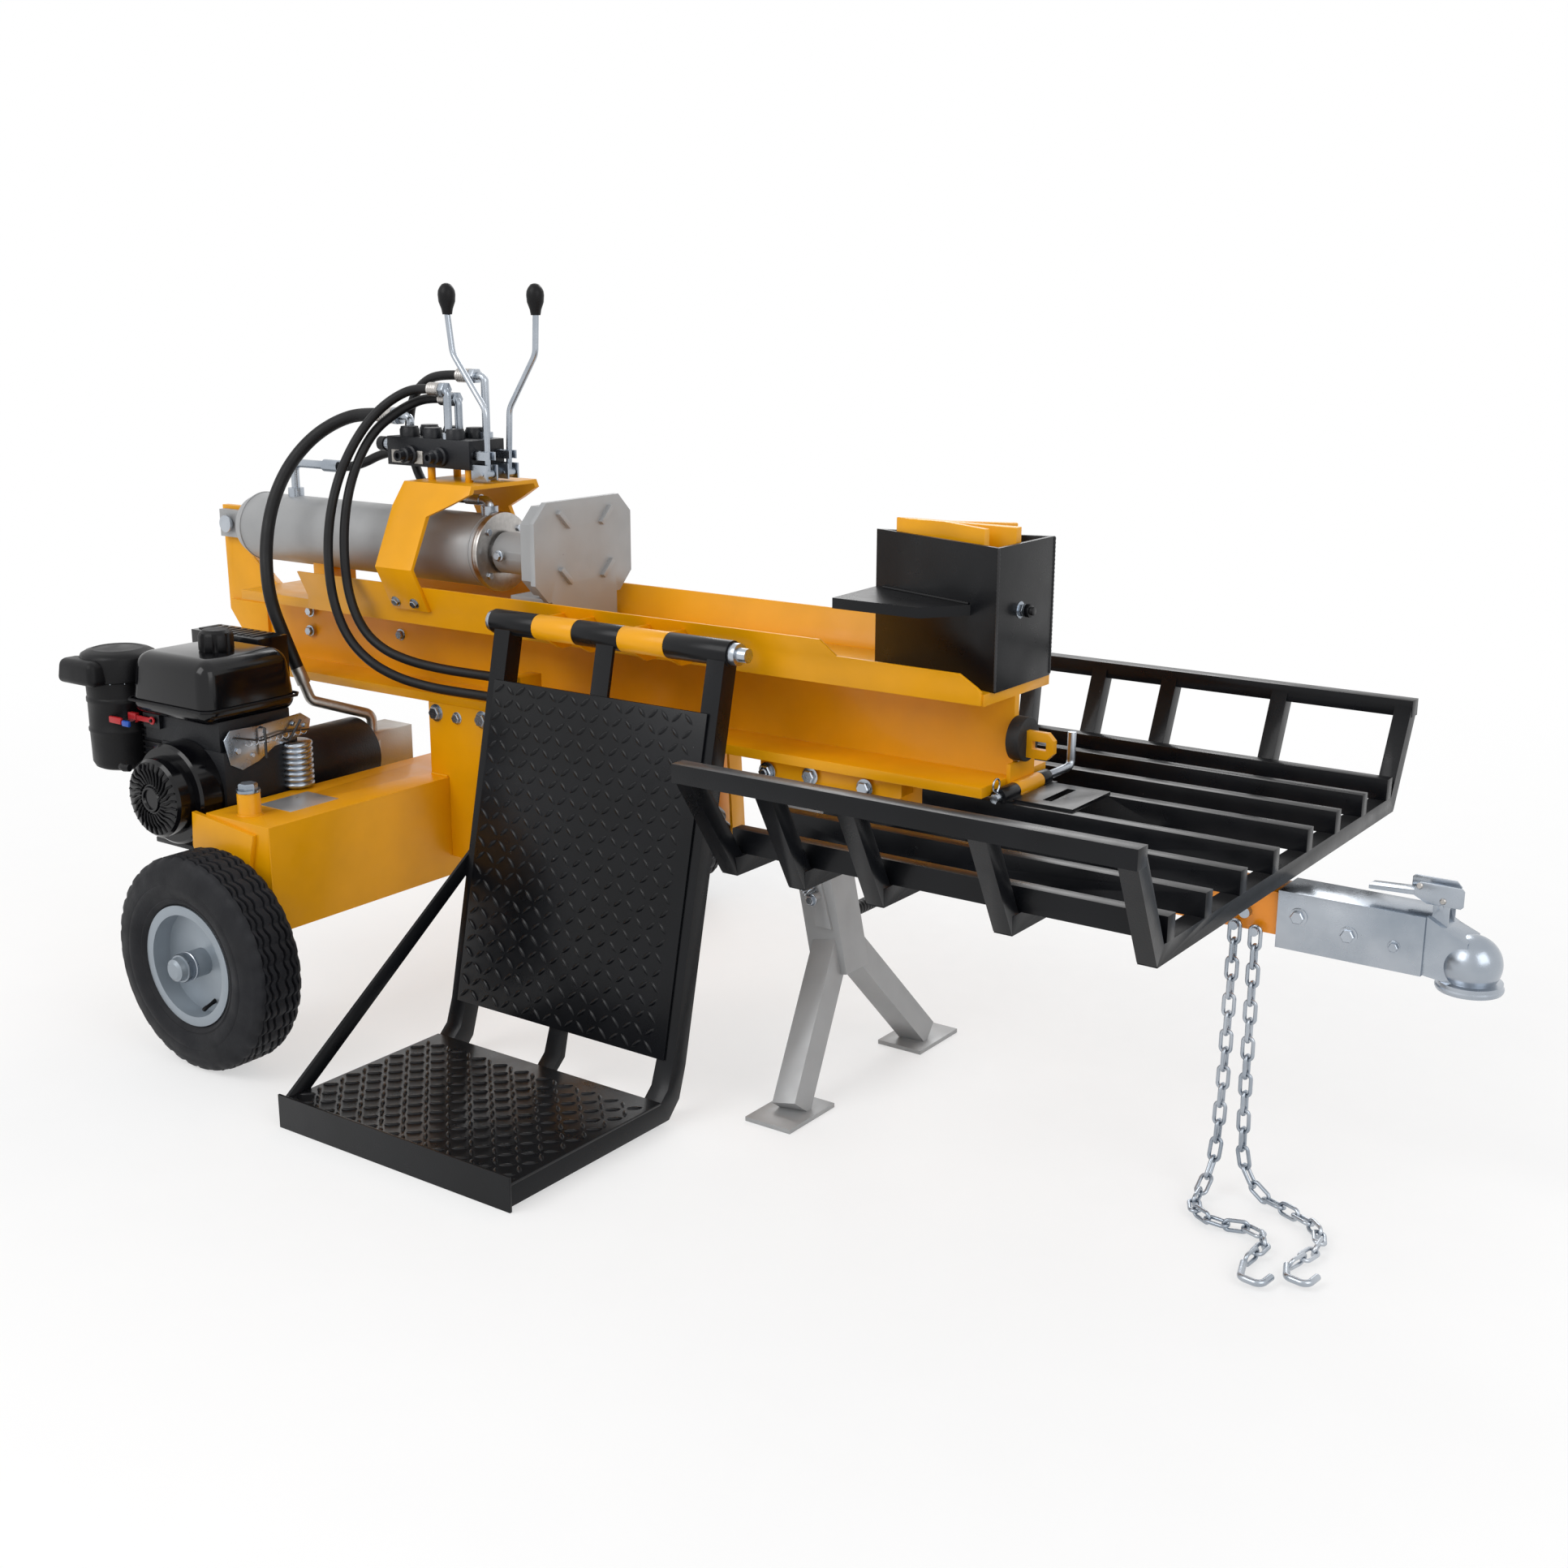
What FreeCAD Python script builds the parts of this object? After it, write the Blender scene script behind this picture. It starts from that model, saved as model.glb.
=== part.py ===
import FreeCAD
import Part
import Sketcher
import math
import os
import re
import types

V = FreeCAD.Vector

# Driving sizes of the log splitter, in millimetres and degrees
# X runs from the axle to the towing coupler, Y across the beam, Z up from the ground
SIZES = [
    # Place of the shared frame: middle of the whole machine, on the ground
    ("origin_x", 729, "distance from the axle to the middle of the machine, along X"),
    ("origin_y", -20.5, "offset from the middle of the beam to the middle of the machine, along Y"),
    # Running fits and gaps
    ("shaft_play", 0.06, "radial play of a shaft in its bore"),
    ("seat_gap", 0.3, "gap between a moving piece and what it rests against"),
    ("side_gap", 0.6, "side gap between neighbouring knuckles"),
    # Wheels
    ("axle_height", 207.5, "height of the axle"),
    ("track_half", 664, "middle of the beam to the middle of a wheel"),
    ("tyre_radius", 207.5, "outer radius of the tyre"),
    ("tyre_width", 122, "width over the side walls"),
    ("tread_width", 92, "width of the tread"),
    ("tread_depth", 15, "thickness of the rubber under the tread"),
    ("tyre_wall", 9, "thickness of the side wall"),
    ("rim_radius", 116, "radius of the rim flange"),
    ("bead_radius", 101.6, "radius of the bead seat, for an 8 inch wheel"),
    ("bead_width", 94, "width between the rim flanges"),
    ("rim_sheet", 3.5, "sheet thickness of the rim"),
    ("disc_offset", 14, "wheel disc outboard of the wheel middle"),
    ("hub_radius", 26, "outer radius of the hub tube"),
    ("hub_outboard", 66, "outboard reach of the hub tube"),
    ("hub_inboard", 48, "inboard reach of the hub tube"),
    ("spindle_radius", 12.7, "radius of the wheel spindle"),
    ("cap_radius", 23, "radius of the hub dust cap"),
    ("cap_length", 16, "length of the hub dust cap"),
    # Oil tank, which is also the axle
    ("tank_front", 90, "front face of the oil tank"),
    ("tank_rear", -90, "rear face of the oil tank"),
    ("tank_low", 250, "underside of the oil tank"),
    ("tank_high", 457, "top of the oil tank"),
    ("tank_half", 578, "half length of the oil tank"),
    ("tank_wall", 6, "wall of the oil tank"),
    ("end_plate", 10, "thickness of the end plates"),
    ("neck_x", -16, "filler neck along X"),
    ("neck_y", -534, "filler neck along Y"),
    ("neck_radius", 22, "outer radius of the filler neck"),
    ("neck_bore", 17, "bore radius of the filler neck"),
    ("neck_height", 44, "height of the filler neck"),
    ("cap_height", 16, "height of the filler plug head"),
    # Beam
    ("beam_end", 1326, "front end of the beam"),
    ("beam_rear", -560, "rear end of the lower flange"),
    ("deck_rear", -520, "rear end of the upper flange"),
    ("beam_top", 785, "top of the upper flange"),
    ("beam_low", 609, "underside of the lower flange"),
    ("top_flange", 20, "thickness of the upper flange"),
    ("low_flange", 18, "thickness of the lower flange"),
    ("flange_half", 113, "half width of the flanges"),
    ("web_half", 8, "half thickness of the web"),
    ("lug_rear", -695, "rear edge of the tall anchor lug"),
    ("lug_front", -612, "front edge of the tall anchor lug"),
    ("lug_top", 948, "top of the tall anchor lug"),
    ("doubler", 8, "thickness of the doubler plates on the lug"),
    # Side wings along the beam
    ("wing_sheet", 6, "sheet thickness of the wings"),
    ("wing_rear", -299, "rear end of the wings"),
    ("wing_foot", 766, "lower edge of the wings"),
    ("wing_bend", 795, "height of the bend in the wings"),
    ("wing_top", 848, "top edge of the wings"),
    ("wing_spread", 26, "outward lean of the wings from bend to top"),
    ("wing_front", 1322, "front end of the wings"),
    # Pedestal between tank and beam
    ("pedestal_rear", 40, "rear edge of the pedestal plates"),
    ("pedestal_front", 232, "front edge of the pedestal plates"),
    ("pedestal_plate", 8, "thickness of the pedestal plates"),
    # Main cylinder
    ("ram_height", 910, "height of the cylinder axis"),
    ("barrel_radius", 72.75, "outer radius of the cylinder"),
    ("bore_radius", 63.5, "bore radius of the cylinder, for a 5 inch bore"),
    ("barrel_rear", -600, "rear end of the cylinder"),
    ("cap_end", -556, "bottom of the bore"),
    ("gland_front", 143, "front end of the barrel"),
    ("gland_flange", 15, "thickness of the gland flange"),
    ("gland_radius", 79, "radius of the gland flange"),
    ("gland_depth", 18, "depth of the gland inside the barrel"),
    ("piston_gap", 0.3, "radial gap round the piston"),
    ("piston_length", 45, "length of the piston"),
    ("piston_rear", -550, "rear face of the piston at rest"),
    ("rod_radius", 30, "radius of the chrome rod"),
    ("anchor_x", -654, "anchor pin at the rear of the cylinder"),
    ("anchor_radius", 12.7, "radius of the anchor pin"),
    ("tang_plate", 16, "thickness of the two rear tangs"),
    ("tang_half", 30, "half height of the two rear tangs"),
    ("saddle_x", -345, "cylinder saddle along X"),
    ("port_rear", -454, "rear port along X"),
    ("port_front", 122, "front port along X"),
    ("port_radius", 17, "radius of the port bosses"),
    # Push plate
    ("socket_rear", 164, "rear end of the rod socket"),
    ("socket_radius", 41, "outer radius of the rod socket"),
    ("push_face", 370, "splitting face of the push plate at rest"),
    ("push_plate", 12, "thickness of the push plate"),
    ("push_back", 322, "rear of the push plate box"),
    ("push_half", 141, "half width of the push plate"),
    ("push_low", 841, "lower edge of the push plate"),
    ("push_high", 1031, "upper edge of the push plate"),
    ("push_corner", 36, "cut corners of the push plate"),
    ("foot_half", 95, "half width of the sliding foot"),
    ("foot_rear", 262, "rear end of the sliding foot"),
    ("cleat_size", 9, "height of the cleats on the push plate"),
    ("cross_pin", 8, "radius of the rod cross pin"),
    ("cross_pin_x", 190, "rod cross pin along X at rest"),
    # Wedge
    ("blade_edge", 1081, "cutting edge of the fixed wedge"),
    ("blade_back", 1318, "back of the fixed wedge"),
    ("blade_half", 9, "half thickness of the fixed wedge"),
    ("blade_top", 1046, "top of the fixed wedge"),
    ("flare_half", 56, "half spread of the wedge flares"),
    ("box_edge", 1041, "cutting edge of the four way wedge"),
    ("box_front", 1335, "front face of the four way wedge"),
    ("box_half", 96, "half width of the four way wedge at its front"),
    ("box_wall", 7, "wall of the four way wedge"),
    ("box_top", 1023, "top of the four way wedge"),
    ("fin_half", 150, "half span of the horizontal blades"),
    ("fin_low", 905, "underside of the horizontal blades"),
    ("fin_thick", 18, "thickness of the horizontal blades"),
    # Valve and its bracket
    ("bracket_rear", -34, "rear edge of the valve bracket"),
    ("bracket_front", 165, "front edge of the valve bracket"),
    ("bracket_sheet", 8, "plate thickness of the valve bracket"),
    ("bracket_top", 1048, "top of the valve bracket"),
    ("bracket_knee", 884, "height of the bend in the bracket legs"),
    ("bracket_half", 93, "half width of the bracket top"),
    ("valve_rear", -110, "rear end of the valve"),
    ("valve_front", 120, "front end of the valve"),
    ("valve_half", 50, "half width of the valve"),
    ("valve_low", 1073, "underside of the valve"),
    ("valve_high", 1130, "top of the valve"),
    ("spool_y", 30, "offset of each spool from the middle"),
    ("spool_z", 1101, "height of the spools"),
    ("spool_radius", 9, "radius of the spools"),
    ("lever_x", 150, "lever pivot along X"),
    ("lever_z", 1066, "height of the lever pivot"),
    ("lever_radius", 6, "radius of the lever rods"),
    ("lever_hub", 9, "radius of the lever hub"),
    ("lever_pin", 4, "radius of the lever pin"),
    ("knob_radius", 17, "radius of the lever knobs"),
    ("knob_low", 1371, "lower end of the lever knobs"),
    ("knob_high", 1430, "top of the lever knobs"),
    # Hoses
    ("pressure_hose", 24, "outer diameter of the pressure hose"),
    ("lift_hose", 17, "outer diameter of the lift hoses"),
    ("port_hose", 17, "outer diameter of the cylinder port hoses"),
    # Engine and pump
    ("crank_x", -205, "crankshaft along X"),
    ("crank_z", 465, "height of the crankshaft"),
    ("engine_deck", 350, "underside of the engine deck"),
    ("deck_plate", 10, "thickness of the engine deck"),
    ("pto_face", -340, "drive end face of the engine"),
    ("recoil_face", -613, "outer face of the recoil starter"),
    ("blower_radius", 100, "radius of the blower housing"),
    ("bell_radius", 74, "outer radius of the bell housing"),
    ("bell_wall", 8, "wall of the bell housing"),
    ("pump_face", -90, "mounting face of the pump"),
    ("pump_length", 120, "length of the pump"),
    ("pump_half", 42, "half width of the pump"),
    ("drive_radius", 28, "radius of the drive coupling"),
    ("fuel_low", 618, "underside of the fuel tank"),
    ("fuel_high", 736, "top of the fuel tank"),
    ("fuel_cap_radius", 34, "radius of the fuel cap"),
    ("fuel_cap_x", -205, "fuel cap along X"),
    ("fuel_cap_y", -435, "fuel cap along Y"),
    ("air_x", -430, "air cleaner along X"),
    ("air_y", -500, "air cleaner along Y"),
    ("air_radius", 66, "radius of the air cleaner"),
    ("air_low", 486, "underside of the air cleaner"),
    ("air_high", 727, "top of the air cleaner"),
    # Log lift
    ("lift_y", -190, "lift hinge along Y"),
    ("lift_z", 813, "height of the lift hinge"),
    ("lift_tube", 23.5, "outer radius of the hinge tubes"),
    ("lift_pin", 12.7, "radius of the lift hinge pin"),
    ("lift_lean", 12.5, "lean of the lift arms from the vertical, degrees"),
    ("lift_arm", 38, "square tube of the lift arms"),
    ("arm_near_x", 347, "first lift arm along X"),
    ("arm_mid_x", 598, "middle lift bar along X"),
    ("arm_far_x", 850, "last lift arm along X"),
    ("shelf_height", 27, "middle height of the shelf tubes"),
    ("lip_y", -787, "front edge of the shelf"),
    ("lip_top", 62, "top of the shelf lip"),
    ("lift_sheet", 5, "thickness of the lift plates"),
    ("plate_top", 712, "top of the lift back plate"),
    ("lift_lug_x", 640, "lift cylinder along X"),
    ("lift_eye_y", -197, "rod eye of the lift cylinder along Y at rest"),
    ("lift_eye_z", 621, "height of the rod eye of the lift cylinder at rest"),
    ("lift_base_y", 110, "base pivot of the lift cylinder along Y"),
    ("lift_base_z", 380, "height of the base pivot of the lift cylinder"),
    ("lift_barrel", 25, "radius of the lift cylinder"),
    ("lift_rod", 12.5, "radius of the lift cylinder rod"),
    ("eye_radius", 19, "radius of the eyes of the lift cylinder"),
    ("eye_half", 14, "half width of the eyes of the lift cylinder"),
    # Receiver, tongue and coupler
    ("receiver_rear", 856, "rear end of the receiver plates"),
    ("receiver_front", 1155, "front end of the receiver plates"),
    ("receiver_low", 565, "lower edge of the receiver plates"),
    ("receiver_half", 77, "inner face of the receiver plates"),
    ("receiver_plate", 10, "thickness of the receiver plates"),
    ("tongue_rear", 1128, "rear end of the tongue"),
    ("tongue_front", 1960, "front end of the tongue"),
    ("tongue_high", 520, "top of the tongue"),
    ("tongue_size", 70, "outer size of the tongue tube"),
    ("tongue_wall", 5, "wall of the tongue tube"),
    ("coupler_rear", 1816, "rear end of the coupler"),
    ("coupler_sheet", 5, "sheet thickness of the coupler"),
    ("ball_x", 2105, "middle of the ball socket"),
    ("ball_z", 454, "height of the middle of the ball socket"),
    ("ball_radius", 25.7, "inner radius of the socket, for a 2 inch ball"),
    ("dome_radius", 45, "outer radius of the socket dome"),
    ("latch_x", 2058, "coupler latch pivot along X"),
    ("latch_z", 538, "height of the coupler latch pivot"),
    # Jack stand
    ("jack_x", 875, "jack pivot along X"),
    ("jack_z", 583, "height of the jack pivot"),
    ("jack_lean", 12, "lean of the jack from the vertical, degrees"),
    ("jack_tube", 75, "square tube of the jack post"),
    ("jack_offset", 22, "post middle forward of the jack pivot"),
    ("jack_post", 395, "jack pivot to the lower end of the post"),
    ("jack_leg", 50, "square tube of the jack legs"),
    ("jack_spread", 218, "half spread of the jack feet"),
    ("jack_foot", 8, "thickness of the jack feet"),
    ("jack_pin", 9, "radius of the jack pivot bolt"),
    ("spring_radius", 11, "radius of the latch spring to the middle of its wire"),
    ("spring_wire", 1.5, "wire radius of the latch spring"),
    ("spring_turns", 10, "turns of the latch spring"),
    ("stud_radius", 7, "radius of the two studs that hold the latch spring"),
    # Table for split wood
    ("table_rear", 1043, "rear end of the table rails"),
    ("table_front", 1820, "front end of the table rails"),
    ("rail_y", 563, "side rails of the table along Y"),
    ("rail_z", 707, "height of the side rails"),
    ("table_tube", 30, "square tube of the table"),
    ("floor_z", 547, "middle height of the table ribs"),
    ("floor_y", 481, "half width of the table floor"),
    ("slat_low", 562, "underside of the table slats"),
    ("slat_high", 600, "top of the table slats"),
    ("slat_width", 25, "width of the table slats"),
    ("slat_step", 128, "spacing of the table slats"),
    ("hinge_x", 1342, "table pin along X"),
    ("hinge_z", 608.5, "height of the table pin"),
    ("hinge_tube", 14, "outer radius of the table knuckles"),
    ("hinge_pin", 7.5, "radius of the table pin"),
    # Safety chains
    ("link_pitch", 31, "pitch of the chain links"),
    ("link_wire", 3.2, "wire radius of the chain links"),
    ("link_half", 8.6, "half width of a chain link to the middle of its wire"),
]

doc = FreeCAD.newDocument("log_splitter")
sheet = doc.addObject("Spreadsheet::Sheet", "Sizes")
for row, (alias, value, meaning) in enumerate(SIZES, 1):
    sheet.set("A%d" % row, meaning)
    sheet.set("B%d" % row, str(value))
    sheet.setAlias("B%d" % row, alias)
doc.recompute()
ALIASES = {alias for alias, value, meaning in SIZES}
s = types.SimpleNamespace(**{alias: float(sheet.get(alias)) for alias in ALIASES})
WORD = re.compile(r"\b[a-z][a-z0-9_]*\b")
TURN = {
    "X": FreeCAD.Rotation(V(0, 1, 0), 90),
    "Y": FreeCAD.Rotation(V(1, 0, 0), -90),
    "Z": FreeCAD.Rotation(V(0, 0, 1), 0),
}


# Plain tools for building bound shapes


def bound(text):
    """The expression with every size name pointing at the sheet."""
    return WORD.sub(lambda m: "Sizes." + m.group(0) if m.group(0) in ALIASES else m.group(0), text)


def bind(thing, prop, text):
    thing.setExpression(prop, bound(text))


def place(thing, x, y, z):
    bind(thing, "Placement.Base.x", x)
    bind(thing, "Placement.Base.y", y)
    bind(thing, "Placement.Base.z", z)


def block(name, x, y, z):
    """A box between two values along each axis."""
    box = doc.addObject("Part::Box", name)
    bind(box, "Length", "(%s) - (%s)" % (x[1], x[0]))
    bind(box, "Width", "(%s) - (%s)" % (y[1], y[0]))
    bind(box, "Height", "(%s) - (%s)" % (z[1], z[0]))
    place(box, x[0], y[0], z[0])
    return box


def rod(name, axis, start, radius, length):
    """A cylinder that starts at a point and runs along an axis."""
    cylinder = doc.addObject("Part::Cylinder", name)
    cylinder.Placement = FreeCAD.Placement(V(0, 0, 0), TURN[axis])
    bind(cylinder, "Radius", radius)
    bind(cylinder, "Height", length)
    place(cylinder, *start)
    return cylinder


def join(kind, name, parts):
    result = doc.addObject(kind, name)
    if kind == "Part::Compound":
        result.Links = list(parts)
    else:
        result.Shapes = list(parts)
    return result


def fuse(name, *parts):
    return join("Part::MultiFuse", name, parts)


def common(name, *parts):
    return join("Part::MultiCommon", name, parts)


def group(name, *parts):
    return join("Part::Compound", name, parts)


def cut(name, base, *tools):
    result = doc.addObject("Part::Cut", name)
    result.Base = base
    result.Tool = tools[0] if len(tools) == 1 else group(name + "_tools", *tools)
    return result


def tube(name, axis, start, radius, bore, length):
    return cut(name, rod(name + "_outer", axis, start, radius, length),
               rod(name + "_bore", axis, start, bore, length))


def mirror(name, source):
    """The same piece on the other side of the beam."""
    result = doc.addObject("Part::Mirroring", name)
    result.Source = source
    result.Normal = V(0, 1, 0)
    result.Base = V(0, 0, 0)
    return result


def outline(body, name, role, points):
    """A closed sketch whose corners are bound to the sheet."""
    sketch = body.newObject("Sketcher::SketchObject", name)
    support = [f for f in body.Origin.OriginFeatures if f.Role == role][0]
    sketch.AttachmentSupport = [(support, "")]
    sketch.MapMode = "FlatFace"
    count = len(points)
    ring = [V(100 * math.cos(2 * math.pi * i / count), 100 * math.sin(2 * math.pi * i / count), 0)
            for i in range(count)]
    for i in range(count):
        sketch.addGeometry(Part.LineSegment(ring[i], ring[(i + 1) % count]), False)
    for i in range(count):
        sketch.addConstraint(Sketcher.Constraint("Coincident", i, 2, (i + 1) % count, 1))
    for i, (across, up) in enumerate(points):
        for kind, text, value in (("DistanceX", across, ring[i].x), ("DistanceY", up, ring[i].y)):
            number = sketch.addConstraint(Sketcher.Constraint(kind, -1, 1, i, 1, value))
            sketch.setExpression("Constraints[%d]" % number, bound(text))
    return sketch


def plate(name, plane, points, low, high):
    """A flat piece with a drawn outline, between two values along its thickness."""
    body = doc.addObject("PartDesign::Body", name)
    sketch = outline(body, name + "_outline", plane + "_Plane", points)
    pad = body.newObject("PartDesign::Pad", name + "_pad")
    pad.Profile = sketch
    bind(pad, "Length", "(%s) - (%s)" % (high, low))
    if plane == "XZ":
        place(body, "0", high, "0")
    elif plane == "XY":
        place(body, "0", "0", low)
    else:
        place(body, low, "0", "0")
    return body


def turned(name, axis, points, centre):
    """A turned piece: points give place along the axis and radius."""
    body = doc.addObject("PartDesign::Body", name)
    if axis == "X":
        sketch = outline(body, name + "_outline", "XY_Plane", points)
    else:
        role = "XY_Plane" if axis == "Y" else "XZ_Plane"
        sketch = outline(body, name + "_outline", role, [(radius, along) for along, radius in points])
    turn = body.newObject("PartDesign::Revolution", name + "_turn")
    turn.Profile = sketch
    turn.ReferenceAxis = (sketch, ["H_Axis" if axis == "X" else "V_Axis"])
    place(body, *centre)
    return body


def feature(name, shape):
    result = doc.addObject("Part::Feature", name)
    result.Shape = shape
    return result


def rounded_path(points, bend=None):
    """Straight runs joined by tangent arcs; a free hose takes the largest arcs its runs allow."""
    points = [V(*p) for p in points]
    edges = []
    radii = []
    last = points[0]
    for before, corner, after in zip(points, points[1:], points[2:]):
        into = (corner - before).normalize()
        out = (after - corner).normalize()
        turn = into.getAngle(out)
        shorter = min((corner - before).Length, (after - corner).Length)
        radius = 0.45 * shorter / math.tan(turn / 2) if bend is None else bend
        reach = radius * math.tan(turn / 2)
        start = corner - into * reach
        end = corner + out * reach
        inward = (out - into).normalize()
        middle = corner + inward * (radius / math.cos(turn / 2) - radius)
        edges.append(Part.LineSegment(last, start).toShape())
        edges.append(Part.Arc(start, middle, end).toShape())
        radii.append(radius)
        last = end
    edges.append(Part.LineSegment(last, points[-1]).toShape())
    return Part.Wire(edges), radii


def pipe(wire, radius):
    """A round section carried along a path."""
    first = wire.OrderedEdges[0]
    start = first.valueAt(first.FirstParameter)
    along = first.tangentAt(first.FirstParameter)
    ring = Part.Wire(Part.makeCircle(radius, start, along))
    return wire.makePipeShell([ring], True, False)


def bent_rod(name, points, radius, bend):
    wire, radii = rounded_path(points, bend)
    return feature(name, pipe(wire, radius))


def hose(name, points, diameter):
    """A free hose; its arc radii and its volume against section times length are printed."""
    wire, radii = rounded_path(points)
    solid = pipe(wire, diameter / 2)
    share = solid.Volume / (math.pi * diameter ** 2 / 4 * wire.Length)
    print("%s: length %.0f, volume share %.4f, radii over diameter %s"
          % (name, wire.Length, share, ["%.1f" % (r / diameter) for r in radii]))
    return feature(name, solid)


def bar(name, start, end, wide, deep, side):
    """A straight bar between two points; side is the direction of its width."""
    start = V(*start)
    end = V(*end)
    along = end - start
    side = V(*side).normalize()
    up = along.cross(side).normalize()
    corners = [start + side * (a * wide / 2) + up * (b * deep / 2)
               for a, b in ((-1, -1), (1, -1), (1, 1), (-1, 1))]
    face = Part.Face(Part.makePolygon(corners + corners[:1]))
    return feature(name, face.extrude(along))


NODES = []


def node(label, *parts):
    """A finished sub-part under its own name, moved to the shared frame."""
    result = group("node_" + label, *parts)
    result.Label = label
    place(result, "-origin_x", "-origin_y", "0")
    NODES.append(result)


# Wheels, built for the near side and mirrored


def wheels():
    centre = ("0", "-track_half", "axle_height")
    half = [("bead_width / 2", "bead_radius"), ("bead_width / 2", "rim_radius + 1"),
            ("tyre_width / 2 - 3", "rim_radius + 14"), ("tyre_width / 2", "rim_radius + 32"),
            ("tyre_width / 2 - 2", "tyre_radius - 38"), ("tyre_width / 2 - 8", "tyre_radius - 18"),
            ("tread_width / 2", "tyre_radius - 5"), ("tread_width / 4", "tyre_radius - 0.8")]
    inside = [("bead_width / 2 - tyre_wall", "bead_radius"),
              ("bead_width / 2 - tyre_wall", "rim_radius + 6"),
              ("tyre_width / 2 - tyre_wall", "rim_radius + 32"),
              ("tread_width / 2 - 2", "tyre_radius - tread_depth - 4"),
              ("tread_width / 4", "tyre_radius - tread_depth")]
    loop = half + [("0", "tyre_radius")] + [("-(%s)" % a, b) for a, b in reversed(half)]
    loop += [("-(%s)" % a, b) for a, b in inside] + list(reversed(inside))
    tyre = turned("tyre_form", "Y", loop, centre)
    node("tyre_near", tyre)
    node("tyre_far", mirror("tyre_mirror", tyre))

    flange_in = "bead_width / 2"
    flange_out = "bead_width / 2 + rim_sheet"
    barrel_in = "bead_radius - rim_sheet"
    disc = "-disc_offset"
    rim = turned("rim_form", "Y", [
        ("-hub_outboard", "spindle_radius + shaft_play"), ("hub_inboard", "spindle_radius + shaft_play"),
        ("hub_inboard", "hub_radius"), (disc + " + rim_sheet", "hub_radius"),
        (disc + " + rim_sheet", barrel_in), (flange_out, barrel_in), (flange_out, "rim_radius"),
        (flange_in, "rim_radius"), (flange_in, "bead_radius"), ("-(%s)" % flange_in, "bead_radius"),
        ("-(%s)" % flange_in, "rim_radius"), ("-(%s)" % flange_out, "rim_radius"),
        ("-(%s)" % flange_out, barrel_in), (disc, barrel_in), (disc, "hub_radius"),
        ("-hub_outboard", "hub_radius")], centre)
    cap = turned("cap_form", "Y", [
        ("-hub_outboard - cap_length", "0"), ("-hub_outboard - cap_length", "cap_radius - 8"),
        ("-hub_outboard - cap_length + 4", "cap_radius - 2"), ("-hub_outboard", "cap_radius"),
        ("-hub_outboard", "0")], centre)
    node("rim_near", rim, cap)
    node("rim_far", mirror("rim_mirror", rim), mirror("cap_mirror", cap))


# Oil tank across the machine, its end plates and the wheel spindles


def tank():
    outer = block("tank_outer", ("tank_rear", "tank_front"), ("-tank_half", "tank_half"),
                  ("tank_low", "tank_high"))
    inner = block("tank_inner", ("tank_rear + tank_wall", "tank_front - tank_wall"),
                  ("-tank_half + tank_wall", "tank_half - tank_wall"),
                  ("tank_low + tank_wall", "tank_high - tank_wall"))
    neck = rod("neck_outer", "Z", ("neck_x", "neck_y", "tank_high - 1"), "neck_radius", "neck_height + 1")
    bore = rod("neck_bore_cut", "Z", ("neck_x", "neck_y", "tank_high - tank_wall - 1"), "neck_bore",
               "neck_height + tank_wall + 2")
    node("oil_tank", cut("tank_shell", fuse("tank_with_neck", outer, neck), inner, bore))

    plug_stem = rod("plug_stem", "Z", ("neck_x", "neck_y", "tank_high + neck_height - 18"),
                    "neck_bore", "18")
    plug_flange = rod("plug_flange", "Z", ("neck_x", "neck_y", "tank_high + neck_height"),
                      "neck_radius + 1", "5")
    plug_head = rod("plug_head", "Z", ("neck_x", "neck_y", "tank_high + neck_height + 4"), "13",
                    "cap_height - 4")
    node("filler_plug", fuse("plug_solid", plug_stem, plug_flange, plug_head))

    sheet_out = plate("end_plate_form", "XZ", [
        ("-118", "tank_high"), ("55", "tank_high - 19"), ("33", "352"), ("40", "axle_height + 34"),
        ("28", "axle_height - 32"), ("-28", "axle_height - 32"), ("-40", "axle_height + 34"),
        ("-123", "389")], "-tank_half - end_plate", "-tank_half")
    spindle = rod("spindle", "Y", ("0", "-track_half - hub_outboard + 1", "axle_height"),
                  "spindle_radius", "track_half + hub_outboard - 1 - tank_half - end_plate")
    collar = rod("spindle_collar", "Y", ("0", "-track_half + hub_inboard + seat_gap", "axle_height"),
                 "hub_radius - 4", "track_half - hub_inboard - seat_gap - tank_half - end_plate")
    side = fuse("end_plate_solid", sheet_out, spindle, collar)
    node("axle_ends", side, mirror("end_plate_far", side))


# Beam with its tall anchor lug, the wings along it and the pedestal that carries it


def wing_profile(name, low, high):
    """Cross section of the bent wing on the near side, over a length."""
    return plate(name, "YZ", [
        ("-flange_half", "wing_foot"), ("-flange_half - wing_sheet", "wing_foot"),
        ("-flange_half - wing_sheet", "wing_bend"),
        ("-flange_half - wing_sheet - wing_spread", "wing_top + 1"),
        ("-flange_half - wing_spread", "wing_top + 1"), ("-flange_half", "wing_bend")], low, high)


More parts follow.
